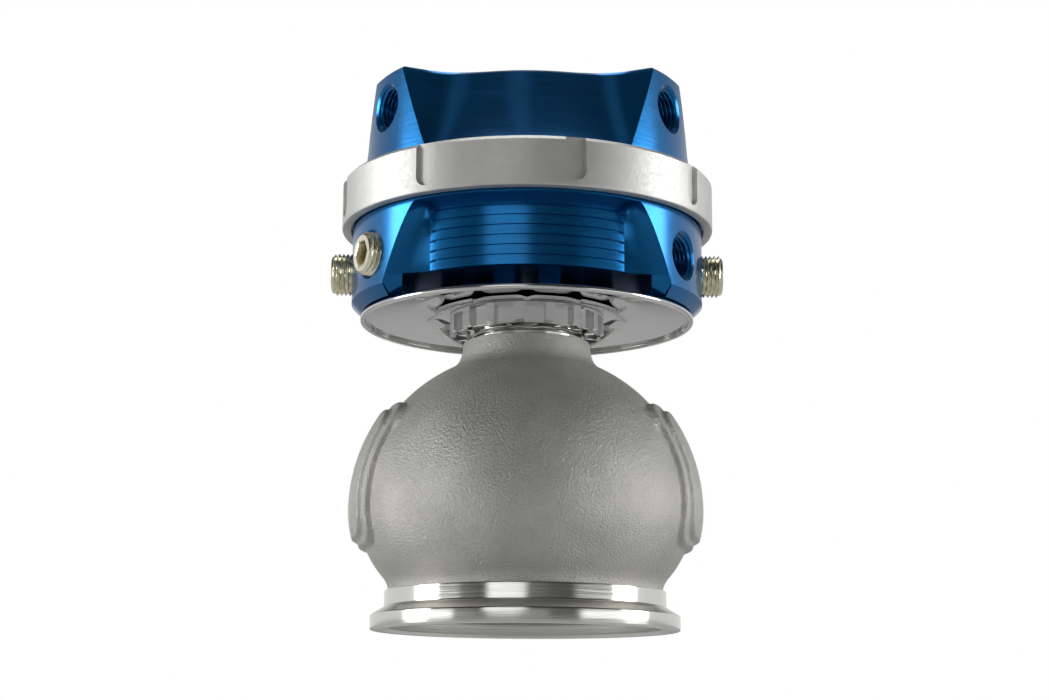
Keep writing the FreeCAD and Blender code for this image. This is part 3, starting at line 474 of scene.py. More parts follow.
def tube_reach(ray, radius, height, limit):
    """How far a ray from the ball's centre goes inside the outlet's tube. The ray meets the
    cylinder where the square of its distance from the tube's line is the radius squared."""
    lift = height - BALL_CENTRE
    a = ray[..., 0] ** 2 + ray[..., 2] ** 2
    b = ray[..., 2] * lift
    root = np.sqrt(np.maximum(b * b - a * (lift * lift - radius * radius), 0))
    wall = (b + root) / np.maximum(a, 1e-9)
    face = limit / np.maximum(ray[..., 1], 1e-9)
    return np.where(ray[..., 1] > 0, np.minimum(wall, face), 0)


def ball_reach(elevation, wall):
    """How far the ball reaches from its centre: two arcs of the section, one above and one
    below the widest ring, each met by the ray at its elevation."""

    def arc(offset, radius):
        """The reach to a circle whose centre is the offset away from the ball's."""
        root = np.sqrt(radius**2 - (offset * np.sin(elevation)) ** 2)
        return offset * np.cos(elevation) + root

    widest = BALL_OFFSET + BALL_RADIUS
    above = arc(BALL_OFFSET, BALL_RADIUS - wall)
    below = arc(widest - BELLY_RADIUS, BELLY_RADIUS - wall)
    return np.where(elevation > 0, above, below)


def plate_rise(points):
    """The raised bare plates on both sides: a rounded box in the side view, in two steps."""

    def inside(inset, edge):
        """1 inside the box drawn in by the inset, 0 outside, and a smooth step between."""
        across = np.abs(points[..., 1]) - (PLATE_HALF[0] - inset - PLATE_CORNER)
        up = np.abs(points[..., 2] - PLATE_MIDDLE) - (PLATE_HALF[1] - inset - PLATE_CORNER)
        outside = np.hypot(np.maximum(across, 0), np.maximum(up, 0))
        gap = outside + np.minimum(np.maximum(across, up), 0) - PLATE_CORNER
        share = np.clip(0.5 - gap / edge, 0, 1)
        return share * share * (3 - 2 * share)

    side = np.abs(points[..., 0]) > 20
    return side * sum(rise * inside(inset, edge) for rise, inset, edge in PLATE_STEPS)


def casting_surface(azimuths, elevations, wall=0.0):
    """The casting as a reach along each direction from the ball's centre: the largest of the
    ball, the foot, the neck and the outlet's tube, rounded where they meet."""
    lift = np.radians(elevations)[:, None] + 0 * azimuths[None, :]
    ray = polar(np.cos(lift), azimuths[None, :], np.sin(lift))
    reach = ball_reach(lift, wall)
    if wall == 0:
        points = ray * reach[..., None] + np.array([0, 0, BALL_CENTRE])
        reach = reach + plate_rise(points)
        neck = np.where(lift > 0, NECK_RADIUS / np.cos(lift), 0)
        foot = np.where(lift < 0, FOOT_RADIUS / np.cos(lift), 0)
        reach = blend_out(blend_out(reach, neck, NECK_FILLET), foot, FOOT_FILLET)
    else:
        reach = np.maximum(reach, np.where(lift < 0, SEAT_POCKET / np.cos(lift), 0))
    radius = OUTLET_TUBE if wall == 0 else OUTLET_BORE
    tube = tube_reach(ray, radius, OUTLET_HEIGHT, OUTLET_FACE - OUTLET_STUB)
    reach = blend_out(reach, tube, TUBE_FILLET)
    return ray * reach[..., None] + np.array([0, 0, BALL_CENTRE])


def flange_section(rim, lip, rise, tube, back, bore, register, depth, inner):
    """Section of a V-band flange as (along, radius), from its face at 0."""
    return [(inner, bore), (depth, bore), (depth, register), (0.35, register),
            (0, register + 0.35), (0, rim), (lip, rim), (lip + rise, tube), (back, tube)]


def swapped(section):
    """(along, radius) as (radius, along)."""
    return [(radius, along) for along, radius in section]


def open_outlet(made, back):
    """Takes away the flat end that the outlet's limit leaves, down to a depth from its face."""
    work = bmesh.new()
    work.from_mesh(made.data)
    limit = (OUTLET_FACE - back) * MM
    ends = [face for face in work.faces if min(v.co.y for v in face.verts) > limit]
    bmesh.ops.delete(work, geom=ends, context="FACES")
    work.to_mesh(made.data)
    work.free()


# ------------------------------------------------------------------ actuator base

BASE_RADIUS = 41.4
BASE_THREAD = 40.6
BAND_RADIUS = 36.0
BAND_ANGLE = 37.0
SCALLOP_TOP = 93.0
SHOULDER = 94.2
SKIRT_BOTTOM = 73.5
SKIRT_CHAMFER = 2.4
SKIRT_BORE = 36.7
UNDERSIDE = 77.7
UNDERCUT = 27.9
BASE_PORT_HEIGHT = 83.7
FLARE_HOLLOW = 0.02
GROOVES = 80.0 + 2.27 * np.arange(6)
GROOVE_DEPTH = 0.38
PORT_HALF = 8.6
EAR_ENDS = (51.6, 128.4)
PORT_BOX = (77.4, 90.0)
PORT_END = 33.0


def flare_angle(height):
    """Half angle of the cut at the base's outer radius, from its height: it opens quickly
    below the shoulder and then more slowly, as a cone leaves a cylinder."""
    drop = np.clip((SCALLOP_TOP - height) / (SCALLOP_TOP - UNDERSIDE), 0, 1.27)
    return BAND_ANGLE + 0.5 + 13.0 * drop**0.8


def band_patch(middle):
    """The straight band with its fine grooves, which run out at the flares."""
    steps = (-0.5, -0.28, -0.16, -0.06, 0.06, 0.16, 0.28, 0.5)
    edges = np.concatenate([GROOVES + step for step in steps])
    heights = np.sort(np.concatenate([[UNDERSIDE, UNDERSIDE + 0.25, SCALLOP_TOP], edges]))
    azimuths = np.linspace(-BAND_ANGLE, BAND_ANGLE, 121)
    gap = np.abs(heights[:, None] - GROOVES[None, :]).min(axis=1)
    cut = np.clip((0.26 - gap) / 0.1, 0, 1)[:, None]
    lead = np.clip((BAND_ANGLE - np.abs(azimuths)) / 1.5, 0, 1)[None, :]
    bottom = np.clip((UNDERSIDE + 0.25 - heights) / 0.25, 0, 1)[:, None]
    radius = BAND_RADIUS - GROOVE_DEPTH * cut * lead - 0.25 * bottom
    return polar(radius, middle + azimuths[None, :], heights[:, None])


def flare_patch(middle, side):
    """A concave flare from the band's edge out to the base's full radius. Each row is a chord
    with a shallow hollow, and below the underside the rows start at the undercut."""
    patches = []
    rows = (np.linspace(UNDERSIDE, SCALLOP_TOP, 34),
            np.array([SKIRT_BOTTOM, SKIRT_BOTTOM + SKIRT_CHAMFER, UNDERSIDE]))
    for heights, below in zip(rows, (False, True)):
        share = np.linspace(0, 1, 17)[None, :]
        start = polar(BAND_RADIUS, BAND_ANGLE, heights)[:, None, :]
        full = np.where(heights > SKIRT_BOTTOM, BASE_RADIUS, BASE_RADIUS - SKIRT_CHAMFER)
        end = polar(full, flare_angle(heights), heights)[:, None, :]
        if below:
            first = (UNDERCUT - start[..., 0]) / (end[..., 0] - start[..., 0])
            share = first + (1 - first) * share
        line = start * (1 - share[..., None]) + end * share[..., None]
        width = np.linalg.norm(end - start, axis=-1)
        hollow = FLARE_HOLLOW * width * np.sin(np.pi * share)
        along = (end - start) / width[..., None]
        inwards = np.stack([-along[..., 1], along[..., 0], 0 * along[..., 0]], axis=-1)
        points = line + inwards * hollow[..., None]
        if below:
            points[..., 1] += 0.55 * (UNDERSIDE - points[..., 2]) * (1 - 0.6 * share)
        points[..., 0] *= side
        patches.append(spun(points, middle))
    return patches


def ear_patches(middle, ports):
    """The outer wall between two flares, with its ports. Its columns are straight where the
    ports are and lean with the flares at both ends."""
    heights = np.concatenate(
        [np.linspace(SKIRT_BOTTOM + SKIRT_CHAMFER, PORT_BOX[0], 5)[:-1],
         np.linspace(*PORT_BOX, 25), np.linspace(PORT_BOX[1], SCALLOP_TOP, 9)[1:]]
    )
    limits = {port: (port - PORT_HALF, port + PORT_HALF) for port in ports}
    stops = [EAR_ENDS[0], *(stop for pair in limits.values() for stop in pair), EAR_ENDS[1]]
    columns = []
    for start, end in zip(stops[:-1], stops[1:]):
        count = max(int((end - start) / 0.7), 1)
        columns.append(np.linspace(start, end, count + 1)[:-1])
    azimuths = np.concatenate(columns + [[stops[-1]]])
    cut = flare_angle(heights)
    leaning = (np.linspace(cut, EAR_ENDS[0], 9).T, np.linspace(EAR_ENDS[1], 180 - cut, 9).T)
    patches = [polar(BASE_RADIUS, part, heights[:, None]) for part in leaning]
    solid = np.ones((len(heights) - 1, len(azimuths) - 1), bool)
    level = within(heights, *PORT_BOX)
    for port in ports:
        beside = within(azimuths, *limits[port])
        solid &= ~((level[:-1] & level[1:])[:, None] & (beside[:-1] & beside[1:])[None, :])
    wall = polar(BASE_RADIUS, azimuths[None, :], heights[:, None])
    for row, keep in enumerate(solid):
        edges = np.flatnonzero(np.diff(np.concatenate([[0], keep.astype(int), [0]])))
        for first, last in zip(edges[::2], edges[1::2]):
            patches.append(wall[row : row + 2, first : last + 1])
    placed = [spun(patch, middle - 90) for patch in patches]
    for port in ports:
        def surface(across, up, port=port):
            """The wall's points beside this port."""
            azimuth = port + np.degrees(np.arcsin(across / BASE_RADIUS))
            return spun(polar(BASE_RADIUS, azimuth, up), middle - 90)

        columns = azimuths[within(azimuths, *limits[port])]
        across = BASE_RADIUS * np.sin(np.radians(columns - port))
        placed += tapped_port(surface, port + middle - 90, across, heights[level],
                              BASE_PORT_HEIGHT, BASE_RADIUS, PORT_END)
    return placed


def skirt_patches(middle):
    """What closes an ear below: chamfer, bottom edge and the inside of the skirt."""
    share = np.linspace(0, 1, 40)[None, :]
    heights = np.array([SKIRT_BOTTOM + SKIRT_CHAMFER, SKIRT_BOTTOM])[:, None]
    edge = flare_angle(heights)
    span = edge + (180 - 2 * edge) * share
    radius = np.array([BASE_RADIUS, BASE_RADIUS - SKIRT_CHAMFER])[:, None]
    chamfer = polar(radius, span, heights)
    end = math.degrees(math.asin(UNDERCUT / SKIRT_BORE))
    inner = polar(SKIRT_BORE, end + (180 - 2 * end) * share, 0)[0]
    level = np.stack([chamfer[1], inner + [0, 0, SKIRT_BOTTOM]])
    wall = np.stack([inner + [0, 0, SKIRT_BOTTOM], inner + [0, 0, UNDERSIDE]])
    rim = polar(BAND_RADIUS, end + (180 - 2 * end) * share, 0)[0] + [0, 0, UNDERSIDE]
    return [spun(patch, middle - 90) for patch in (chamfer, level, wall, np.stack([wall[1], rim]))]


def notch_polygons(middle, side):
    """The level and the upright face that close the cut below a flare."""
    start = polar(BAND_RADIUS, BAND_ANGLE, UNDERSIDE)
    finish = polar(BASE_RADIUS, flare_angle(UNDERSIDE), UNDERSIDE)
    share = (UNDERCUT - start[0]) / (finish[0] - start[0])
    corner = start + (finish - start) * share
    inner = np.array([UNDERCUT, -math.sqrt(SKIRT_BORE**2 - UNDERCUT**2), UNDERSIDE])
    end = math.degrees(math.asin(UNDERCUT / SKIRT_BORE))
    arc = polar(BAND_RADIUS, np.linspace(end, BAND_ANGLE, 8), UNDERSIDE)
    drop = np.array([0, 0, SKIRT_BOTTOM - UNDERSIDE])
    outer = polar(BASE_RADIUS - SKIRT_CHAMFER, flare_angle(SKIRT_BOTTOM), SKIRT_BOTTOM)
    level = np.concatenate([[start, corner, inner], arc])
    upright = np.array([corner, inner, inner + drop, corner + drop])
    foot = np.array([corner + drop, inner + drop, outer])
    return [spun(part * np.array([side, 1, 1]), middle) for part in (level, upright, foot)]


def post_patch(azimuth):
    """A foot between the hub and the shield: the outline of a ring's sector, rounded at its
    corners, carried from the shield up to the underside."""
    half = POST_HALF_ANGLE
    plan = np.concatenate([polar(POST_OUTER, np.linspace(-half, half, 9), 0),
                           polar(POST_INNER, np.linspace(half, -half, 7), 0)])
    plan = softened(np.concatenate([plan[3:], plan[:4]]), 0.4, 2)
    low, high = np.array([0, 0, SHIELD_UNDER + SHIELD_THICK]), np.array([0, 0, UNDERSIDE])
    return spun(np.stack([plan + low, plan + high]), azimuth)


# ------------------------------------------------------------------ neck, nut and shield

NUT_LOW, NUT_HIGH = (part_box("castellated_nut")[k][2] / MM for k in (0, 1))
NUT_RADIUS = 18.2
NUT_BORE = 13.55
NUT_SLOTS = 16
NUT_TURN = 6.0
NUT_SLOT_WIDTH = 5.0
NUT_SLOT_DEPTH = 1.3
NUT_RING = 0.9
SHIELD_UNDER = NUT_HIGH + 0.8
SHIELD_THICK = 0.9
SHIELD_RADIUS = 39.35
SHIELD_FLAT = 26.6
SHIELD_BORE = 13.56
NECK_PITCH = 1.5
THREAD_ROOT = 12.75
THREAD_RISE = 0.75
THREAD_END = 81.4
POST_OUTER, POST_INNER = 20.4, 14.6
POSTS = 12
POST_HALF_ANGLE = 7.5
WASHER_TIPS = 12
WASHER_BORE = 13.6
WASHER_VALLEY = 21.3
WASHER_REACH = 3.2
WASHER_CURL = 1.6


def neck_thread():
    """The neck's screw: a shallow relief above the casting, then a thread."""
    heights = np.arange(NECK_TOP, THREAD_END, 0.12)[:, None]
    azimuth = np.linspace(0, 360, 181)[None, :]
    wave = thread_wave(heights / NECK_PITCH - azimuth / 360)
    start = np.clip((heights - NECK_TOP - 0.9) / 0.5, 0, 1)
    screw = polar(THREAD_ROOT + THREAD_RISE * (1 - wave) * start, azimuth, heights)
    step = turned([(NECK_RADIUS - 0.2, NECK_TOP), (THREAD_ROOT, NECK_TOP)])
    return [screw, step]


def castellated_nut():
    """Lands and slots: each column of the grid follows the land's section or the slot's, and
    a narrow step joins them."""
    pitch = 360 / NUT_SLOTS
    slot = 2 * math.degrees(math.asin(NUT_SLOT_WIDTH / 2 / NUT_RADIUS))
    columns = (
        (-slot / 2 - 0.5, 1), (-slot / 2, 0.93), (-slot / 2 + 0.05, 0), (-slot / 4, 0), (0, 0),
        (slot / 4, 0), (slot / 2 - 0.05, 0), (slot / 2, 0.93), (slot / 2 + 0.5, 1),
    )
    edges = [index * pitch + NUT_TURN + offset for index in range(NUT_SLOTS)
             for offset, _ in columns]
    edges.append(edges[0] + 360)
    land = np.array([part for _, part in columns] * NUT_SLOTS + [1])[None, :]
    bore, ring, floor = NUT_BORE, NUT_HIGH - NUT_RING, NUT_RADIUS - NUT_SLOT_DEPTH
    outer = [(bore + 0.6, NUT_LOW), (NUT_RADIUS - 0.7, NUT_LOW), (NUT_RADIUS, NUT_LOW + 0.5),
             (NUT_RADIUS, ring), (NUT_RADIUS, ring + 0.02), (NUT_RADIUS, NUT_HIGH - 0.3),
             (NUT_RADIUS - 0.3, NUT_HIGH), (bore, NUT_HIGH)]
    inner = [(bore + 0.6, NUT_LOW), (floor - 0.2, NUT_LOW), (floor, NUT_LOW + 0.2),
             (floor, ring), (NUT_RADIUS - 0.1, ring + 0.02), *outer[5:]]
    outer, inner = np.array(outer)[:, None, :], np.array(inner)[:, None, :]
    section = inner + (outer - inner) * land[..., None]
    walls = polar(section[..., 0], np.array(edges)[None, :], section[..., 1])
    mouth = turned([(bore + 0.6, NUT_LOW), (bore, NUT_LOW + 0.6), (bore, NUT_HIGH)], soft=0)
    return [walls, mouth]


def star_washer():
    """The outer edge swings between valley and a blunt tip, and the tips curl
    down with the square of their reach. Two sheets and an edge."""
    azimuth = np.linspace(0, 360, WASHER_TIPS * 24 + 1)[None, :]
    wave = np.abs((azimuth / (360 / WASHER_TIPS) % 1) * 2 - 1)
    edge = WASHER_VALLEY + WASHER_REACH * np.minimum(wave, 0.93) ** 5
    share = np.linspace(0, 1, 10)[:, None]
    radius = WASHER_BORE + (edge - WASHER_BORE) * share
    curl = WASHER_CURL * np.clip((radius - 19.0) / 5.1, 0, 1) ** 2
    top = polar(radius, azimuth, SHIELD_UNDER - curl - 0.02)
    low = polar(radius, azimuth, SHIELD_UNDER - 0.78 - curl)
    middle = polar(edge + 0.12, azimuth, SHIELD_UNDER - 0.4 - curl[-1])[0]
    return [top, low, np.stack([top[-1], middle, low[-1]])]


def heat_shield():
    """A spun dish: flat middle, a cone that falls to the rim, and a rolled bead."""
    low, high = SHIELD_UNDER, SHIELD_UNDER + SHIELD_THICK
    bead = 0.75
    centre = (SHIELD_RADIUS - bead, low - 2.35)
    arc = np.radians(np.linspace(100, -215, 15))
    rolled = [(centre[0] + bead * math.cos(a), centre[1] + bead * math.sin(a)) for a in arc]
    under = [(SHIELD_RADIUS - 2.2, low - 1.95), (SHIELD_FLAT, low), (SHIELD_BORE, low)]
    top = [(SHIELD_BORE, low), (SHIELD_BORE, high), (SHIELD_FLAT + 0.2, high),
           (SHIELD_RADIUS - 1.6, low - 1.45)]
    return turned(top + rolled + under, 256, 0.35)


# ------------------------------------------------------------------ cap

CAP_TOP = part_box("actuator_cap")[1][2] / MM
CAP_LEDGE = CAP_TOP - 21.1
CAP_RADIUS = 39.1
CAP_PORT = CAP_TOP - 8.5
CAP_CHAMFER = 0.7
CAP_PORT_HALF = 6.4
CAP_PORT_END = 25.5
EARS = (-60.0, 60.0, 180.0)
EAR_HALF = (23.0, 9.9)
HOLLOW_OUT = (34.5, 22.3)
HOLLOW_ROUND = 38.0
HOLLOW_SLOPE = 0.475


def cap_share(height):
    """Share of the way from the ledge to the cap's top."""
    return np.clip((np.asarray(height, float) - CAP_LEDGE) / (CAP_TOP - CAP_LEDGE), 0, 1)


def cap_radius(height):
    """The ears' outside is turned, with a slight draft."""
    return 38.6 - 0.8 * cap_share(height)


def ear_half(height):
    """Half angle of an ear: wide at the ledge and narrow at the top."""
    return EAR_HALF[0] + (EAR_HALF[1] - EAR_HALF[0]) * cap_share(height)


def hollow_plan(height, way):
    """The leaning wall between two ears in plan, as (across, out) from its middle, for a way
    from 0 in the middle to 1 at the ear's corner. The middle bulges as an arc, the outside
    is a straight flare up to the corner, and the larger of the two counts, rounded."""
    share = cap_share(height)[:, None]
    edge = np.radians(60 - ear_half(height))[:, None]
    radius = cap_radius(height)[:, None]
    corner_across, corner_out = radius * np.sin(edge), radius * np.cos(edge)
    across = corner_across * way[None, :]
    middle = HOLLOW_OUT[0] + (HOLLOW_OUT[1] - HOLLOW_OUT[0]) * share**0.9
    arc = middle - across**2 / (2 * HOLLOW_ROUND)
    flare = corner_out - HOLLOW_SLOPE * (corner_across - across)
    return np.stack([across, blend_out(arc, flare, 7.0)], axis=-1)


def drawn_in(points, amount):
    """Plan points moved towards the axis, for a chamfer."""
    reach = np.linalg.norm(points[..., :2], axis=-1, keepdims=True)
    return np.concatenate([points[..., :2] * (1 - amount / reach), points[..., 2:]], axis=-1)


def cap_patches():
    """The cap's walls, ear by ear, its chamfer, its top and its ledge."""
    box = (CAP_PORT - CAP_PORT_HALF, CAP_PORT + CAP_PORT_HALF)
    heights = np.concatenate(
        [[CAP_LEDGE - 0.2], np.linspace(CAP_LEDGE, box[0], 8)[:-1], np.linspace(*box, 25),
         np.linspace(box[1], CAP_TOP - CAP_CHAMFER, 4)[1:], [CAP_TOP]]
    )
    level = within(heights, *box)
    first, last = np.flatnonzero(level)[[0, -1]]
    inner = np.linspace(-CAP_PORT_HALF, CAP_PORT_HALF, 25)
    share = np.linspace(0, 1, 12)[None, :]
    column, radius = heights[:, None], cap_radius(heights)[:, None]
    straight = np.degrees(np.arcsin(inner[None, :] / radius))
    out = straight[:, -1:] + (ear_half(heights)[:, None] - straight[:, -1:]) * share
    plan = hollow_plan(heights, np.linspace(0, 1, 41))
    patches, polygons, ring = [], [], []
    for ear in EARS:
        left = polar(radius, ear - out[:, ::-1], column)
        face = polar(radius, ear + straight, column)
        right = polar(radius, ear + out, column)
        near = facing(ear + 60, -plan[:, ::-1, 0], column, plan[:, ::-1, 1])
        far = facing(ear + 60, plan[..., 0], column, plan[..., 1])
        walls = [left, face, right, near, far]
        for wall in walls:
            wall[-1] = drawn_in(wall[-1], CAP_CHAMFER)
        patches += [left, right, near, far, face[: first + 1], face[last:]]

        def surface(side, up, ear=ear):
            """The ear's points beside its port."""
            turn = ear + np.degrees(np.arcsin(side / cap_radius(up)))
            return polar(cap_radius(up), turn, up)

        face_radius = float(cap_radius(CAP_PORT))
        patches += tapped_port(surface, ear, inner, heights[level], CAP_PORT, face_radius,
                               CAP_PORT_END)
        ring += [part[-1, :-1] for part in walls]
    polygons.append(np.concatenate(ring))
    collar = [(CAP_RADIUS - 0.7, CAP_LEDGE - 3.2), (CAP_RADIUS, CAP_LEDGE - 3.2),
              (CAP_RADIUS, CAP_LEDGE - 0.4), (CAP_RADIUS - 0.4, CAP_LEDGE), (27, CAP_LEDGE)]
    patches.append(turned(collar, 240, 0))
    return patches, polygons


# ------------------------------------------------------------------ collar

COLLAR_LOW, COLLAR_HIGH = (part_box("locking_collar")[k][2] / MM for k in (0, 1))
COLLAR_RADIUS = 44.0
COLLAR_SLOTS = 14 + 45.0 * np.arange(8)
SLOT_HALF = 2.3
SLOT_DEPTH = 1.0
SLOT_FLOOR = 1.7


def collar_patches():
    """The collar's outside as one grid, near enough in columns and rows to carry its slots:
    a slot is where the distance to its rounded outline is positive, and the wall steps in
    over a narrow bevel. Outline: two uprights that a half circle joins at the bottom."""
    steps = np.concatenate(
        [[-3.2, -2.75, -2.5], np.linspace(-2.38, -2.14, 5), np.linspace(-2.0, 2.0, 31),
         np.linspace(2.14, 2.38, 5), [2.5, 2.75, 3.2]]
    )
    near = np.degrees(np.arcsin(steps / COLLAR_RADIUS))
    gap = np.linspace(near[-1], 45 + near[0], 18)[1:-1]
    offsets = np.concatenate([near, gap])
    azimuth = np.concatenate([slot + offsets for slot in COLLAR_SLOTS] + [[374 + near[0]]])
    across = np.concatenate([np.concatenate([steps, gap * 0 + 9])] * 8 + [[steps[0]]])
    low, high = COLLAR_LOW, COLLAR_HIGH
    heights = np.concatenate(
        [[low + 0.4], np.linspace(low + 0.6, low + 5, 42), np.linspace(low + 5.6, high - 1.1, 8),
         np.linspace(high - 0.9, high - 0.08, 7)]
    )[:, None]
    floor = low + SLOT_FLOOR + SLOT_HALF
    distance = SLOT_HALF - np.hypot(across[None, :], np.minimum(heights - floor, 0))
    cut = SLOT_DEPTH * np.clip(distance / 0.14 + 0.5, 0, 1)
    chamfer = np.clip(heights - (high - 0.9), 0, 0.9)
    radius = COLLAR_RADIUS - np.maximum(cut, chamfer)
    wall = polar(radius, azimuth[None, :], heights)
    foot = [polar(r, azimuth[None, :], z) for r, z in
            ((40.7, low + 1.2), (41.8, low + 1.2), (41.8, low + 0.15), (41.95, low),
             (COLLAR_RADIUS - 0.4, low), (COLLAR_RADIUS - 0.12, low + 0.12))]
    crown = [polar(np.minimum(radius[-1:], r), azimuth[None, :], z) for r, z in
             ((43.05, high), (39.6, high), (39.5, high - 0.1), (39.5, high - 1.3))]
    return [np.concatenate(foot + [wall] + crown)]


# ------------------------------------------------------------------ inside pieces


def coil(radius, wire, turns, low, high):
    """Round wire carried along a helix, from its lowest to its highest point."""
    turn = np.linspace(0, 2 * np.pi * turns, int(turns * 40) + 1)[:, None]
    around = np.linspace(0, 2 * np.pi, 13)[None, :]
    reach = radius + wire / 2 * np.cos(around)
    share = turn / turn[-1]
    height = low + wire / 2 + (high - low - wire) * share + wire / 2 * np.sin(around)
    tube = polar(reach, np.degrees(turn), height)
    return [tube], [tube[0, :-1], tube[-1, :-1]]


def rolled_diaphragm():
    """Clamped rim, a wall down the chamber, the roll, and the cup that holds the piston."""
    return turned(
        [(40.2, 102.2), (40.2, 101.0), (32.6, 101.0), (31.4, 99.8), (31.4, 93.2), (28.0, 89.4),
         (25.9, 90.8), (24.6, 88.4), (3.1, 88.4), (3.1, 89.6), (23.4, 89.6), (23.4, 100.6),
         (24.6, 102.0), (24.8, 97.0), (26.2, 91.4), (28.0, 90.6), (30.2, 93.6), (30.2, 100.4),
         (32.0, 102.2), (40.2, 102.2)],
        180, 0.9,
    )


# ------------------------------------------------------------------ settings


def tint(name, description, default):
    """A colour setting."""
    return bpy.props.FloatVectorProperty(
        name=name, description=description, default=default, size=3, min=0, max=1, subtype="COLOR"
    )


def length(name, description, default, low, high):
    """A length setting, given in millimetres and kept in metres."""
    return bpy.props.FloatProperty(
        name=name, description=description, default=default * MM, min=low * MM, max=high * MM,
        unit="LENGTH", precision=5,
    )


class WastegateSettings(bpy.types.PropertyGroup):
    casting: tint("Casting", "Blasted stainless casting", (0.54, 0.535, 0.495))
    turned_steel: tint("Turned steel", "Machined flanges, neck and nut", (0.74, 0.735, 0.70))
    shield: tint("Shield", "Polished heat shield", (0.72, 0.725, 0.72))
    blue: tint("Blue", "Dye of the anodised base and cap", (0.0, 0.125, 0.35))
    collar: tint("Collar", "Clear anodised collar", (0.62, 0.62, 0.60))
    plug: tint("Plugs", "Nickel plate", (0.92, 0.87, 0.68))
    blue_roughness: bpy.props.FloatProperty(
        name="Blue roughness", description="How dull the anodised surface is", default=0.21,
        min=0.05, max=0.8, subtype="FACTOR",
    )
    grain: length("Grain", "Height of the casting's grain", 0.22, 0.0, 0.6)
    side_plug_end: length("Side plugs", "End of the side plugs from the axis", 46.25, 44, 50)
    front_plug_end: length("Front plug", "End of the front plug from the axis", 43.5, 42, 48)
    plug_length: length("Plug length", "Length of each plug", 9.8, 8, 12)
    socket_flats: length("Socket", "Hexagon socket across its flats", 5.0, 4, 6)
    floor_height: length("Floor", "Height of the studio floor", -60.0, -200, -5)


def settings(context):
    """The values that the panel shows."""
    return context.scene.wastegate


def finish_of(name, make):
    """A material by name, made once."""
    return bpy.data.materials.get(name) or make()


def steel(context):
    """The steel of what turns about the upright axis."""
    colour = settings(context).turned_steel
    return finish_of("turned steel", lambda: turned_metal("turned steel", tuple(colour), 0.15))


def blue(context):
    """The dyed finish of base and cap."""
    values = settings(context)
    return finish_of(
        "blue anodised",
        lambda: anodised("blue anodised", tuple(values.blue), values.blue_roughness),
    )


# ------------------------------------------------------------------ operators


class WASTEGATE_OT_casting(bpy.types.Operator):
    """Cast valve housing with its chamber and guide boss"""

    bl_idname = "wastegate.casting"
    bl_label = "Casting"

    def execute(self, context):
        sides = [np.linspace(a, b, n)[:-1] for a, b, n in
                 ((-60, 60, 49), (60, 120, 133), (120, 240, 101), (240, 300, 133))]
        azimuth = np.concatenate(sides + [[300.0]])
        outside = casting_surface(azimuth, np.linspace(-30.1, 69.4, 200))
        rim = np.array([[NECK_RADIUS, outside[-1, 0, 2]], [NECK_RADIUS, NECK_TOP - 0.3],
                        [NECK_RADIUS - 0.4, NECK_TOP], [13.2, NECK_TOP]])
        top = polar(rim[:, :1], azimuth[None, :], rim[:, 1:])
        made = skin("cast_housing", [outside, top], sharp=50)
        open_outlet(made, OUTLET_STUB + 0.02)
        finish = cast_steel(tuple(settings(context).casting), settings(context).grain)
        fit(made, "root", "cast_steel", finish, "valve_housing")
        inside = casting_surface(np.linspace(0, 360, 181), np.linspace(-31.9, 70.2, 90), WALL)
        boss = turned([(BOSS_RADIUS, 59.3), (BOSS_RADIUS, BOSS_END), (GUIDE_BORE, BOSS_END),
                       (GUIDE_BORE, 60)], 96)
        made = skin("cast_chamber", [inside[::-1], boss], sharp=50)
        open_outlet(made, CHAMBER_STUB)
        fit(made, "root", "cast_steel", finish)
        return {"FINISHED"}


class WASTEGATE_OT_flanges(bpy.types.Operator):
    """Turned inlet and outlet flanges and the neck's thread"""

    bl_idname = "wastegate.flanges"
    bl_label = "Flanges and neck"

    def execute(self, context):
        inlet = flange_section(rim=35.6, lip=3.3, rise=1.9, tube=32.4, back=8.9,
                               bore=29.4, register=31.4, depth=2.7, inner=9.4)
        inlet += [(8.95, FOOT_RADIUS - 0.4)]
        made = skin("inlet_flange", [turned(swapped(inlet), 256, 0.3)])
        fit(made, "root", "turned_steel", steel(context))
        outlet = flange_section(rim=31.6, lip=2.6, rise=1.7, tube=28.5, back=6.0,
                                bore=OUTLET_BORE - 0.4, register=27.4, depth=2.0, inner=11.0)
        outlet += [(6.0, OUTLET_TUBE - 0.3)]
        outlet = [(OUTLET_FACE - along, radius) for along, radius in outlet]
        made = skin("outlet_flange", [radial_turned(180, OUTLET_HEIGHT, outlet, 240, 0.3)])
        colour = tuple(settings(context).turned_steel)
        finish = turned_metal("turned outlet steel", colour, 0.2, upright=False)
        fit(made, "root", "turned_steel", finish)
        fit(skin("neck_screw", neck_thread()), "root", "turned_steel", steel(context))
        return {"FINISHED"}


class WASTEGATE_OT_neck(bpy.types.Operator):
    """Castellated nut, star washer and heat shield"""

    bl_idname = "wastegate.neck"
    bl_label = "Nut, washer and shield"

    def execute(self, context):
        finish = polished_sheet(tuple(settings(context).shield))
        made = skin("slotted_nut", castellated_nut(), sharp=28)
        fit(made, "root", "polished_steel", finish, "castellated_nut")
        made = skin("tab_washer", star_washer(), sharp=40)
        fit(made, "actuator", "polished_steel", finish, "star_washer")
        made = skin("dished_shield", [heat_shield()], sharp=40)
        fit(made, "actuator", "polished_steel", finish, "heat_shield")
        return {"FINISHED"}


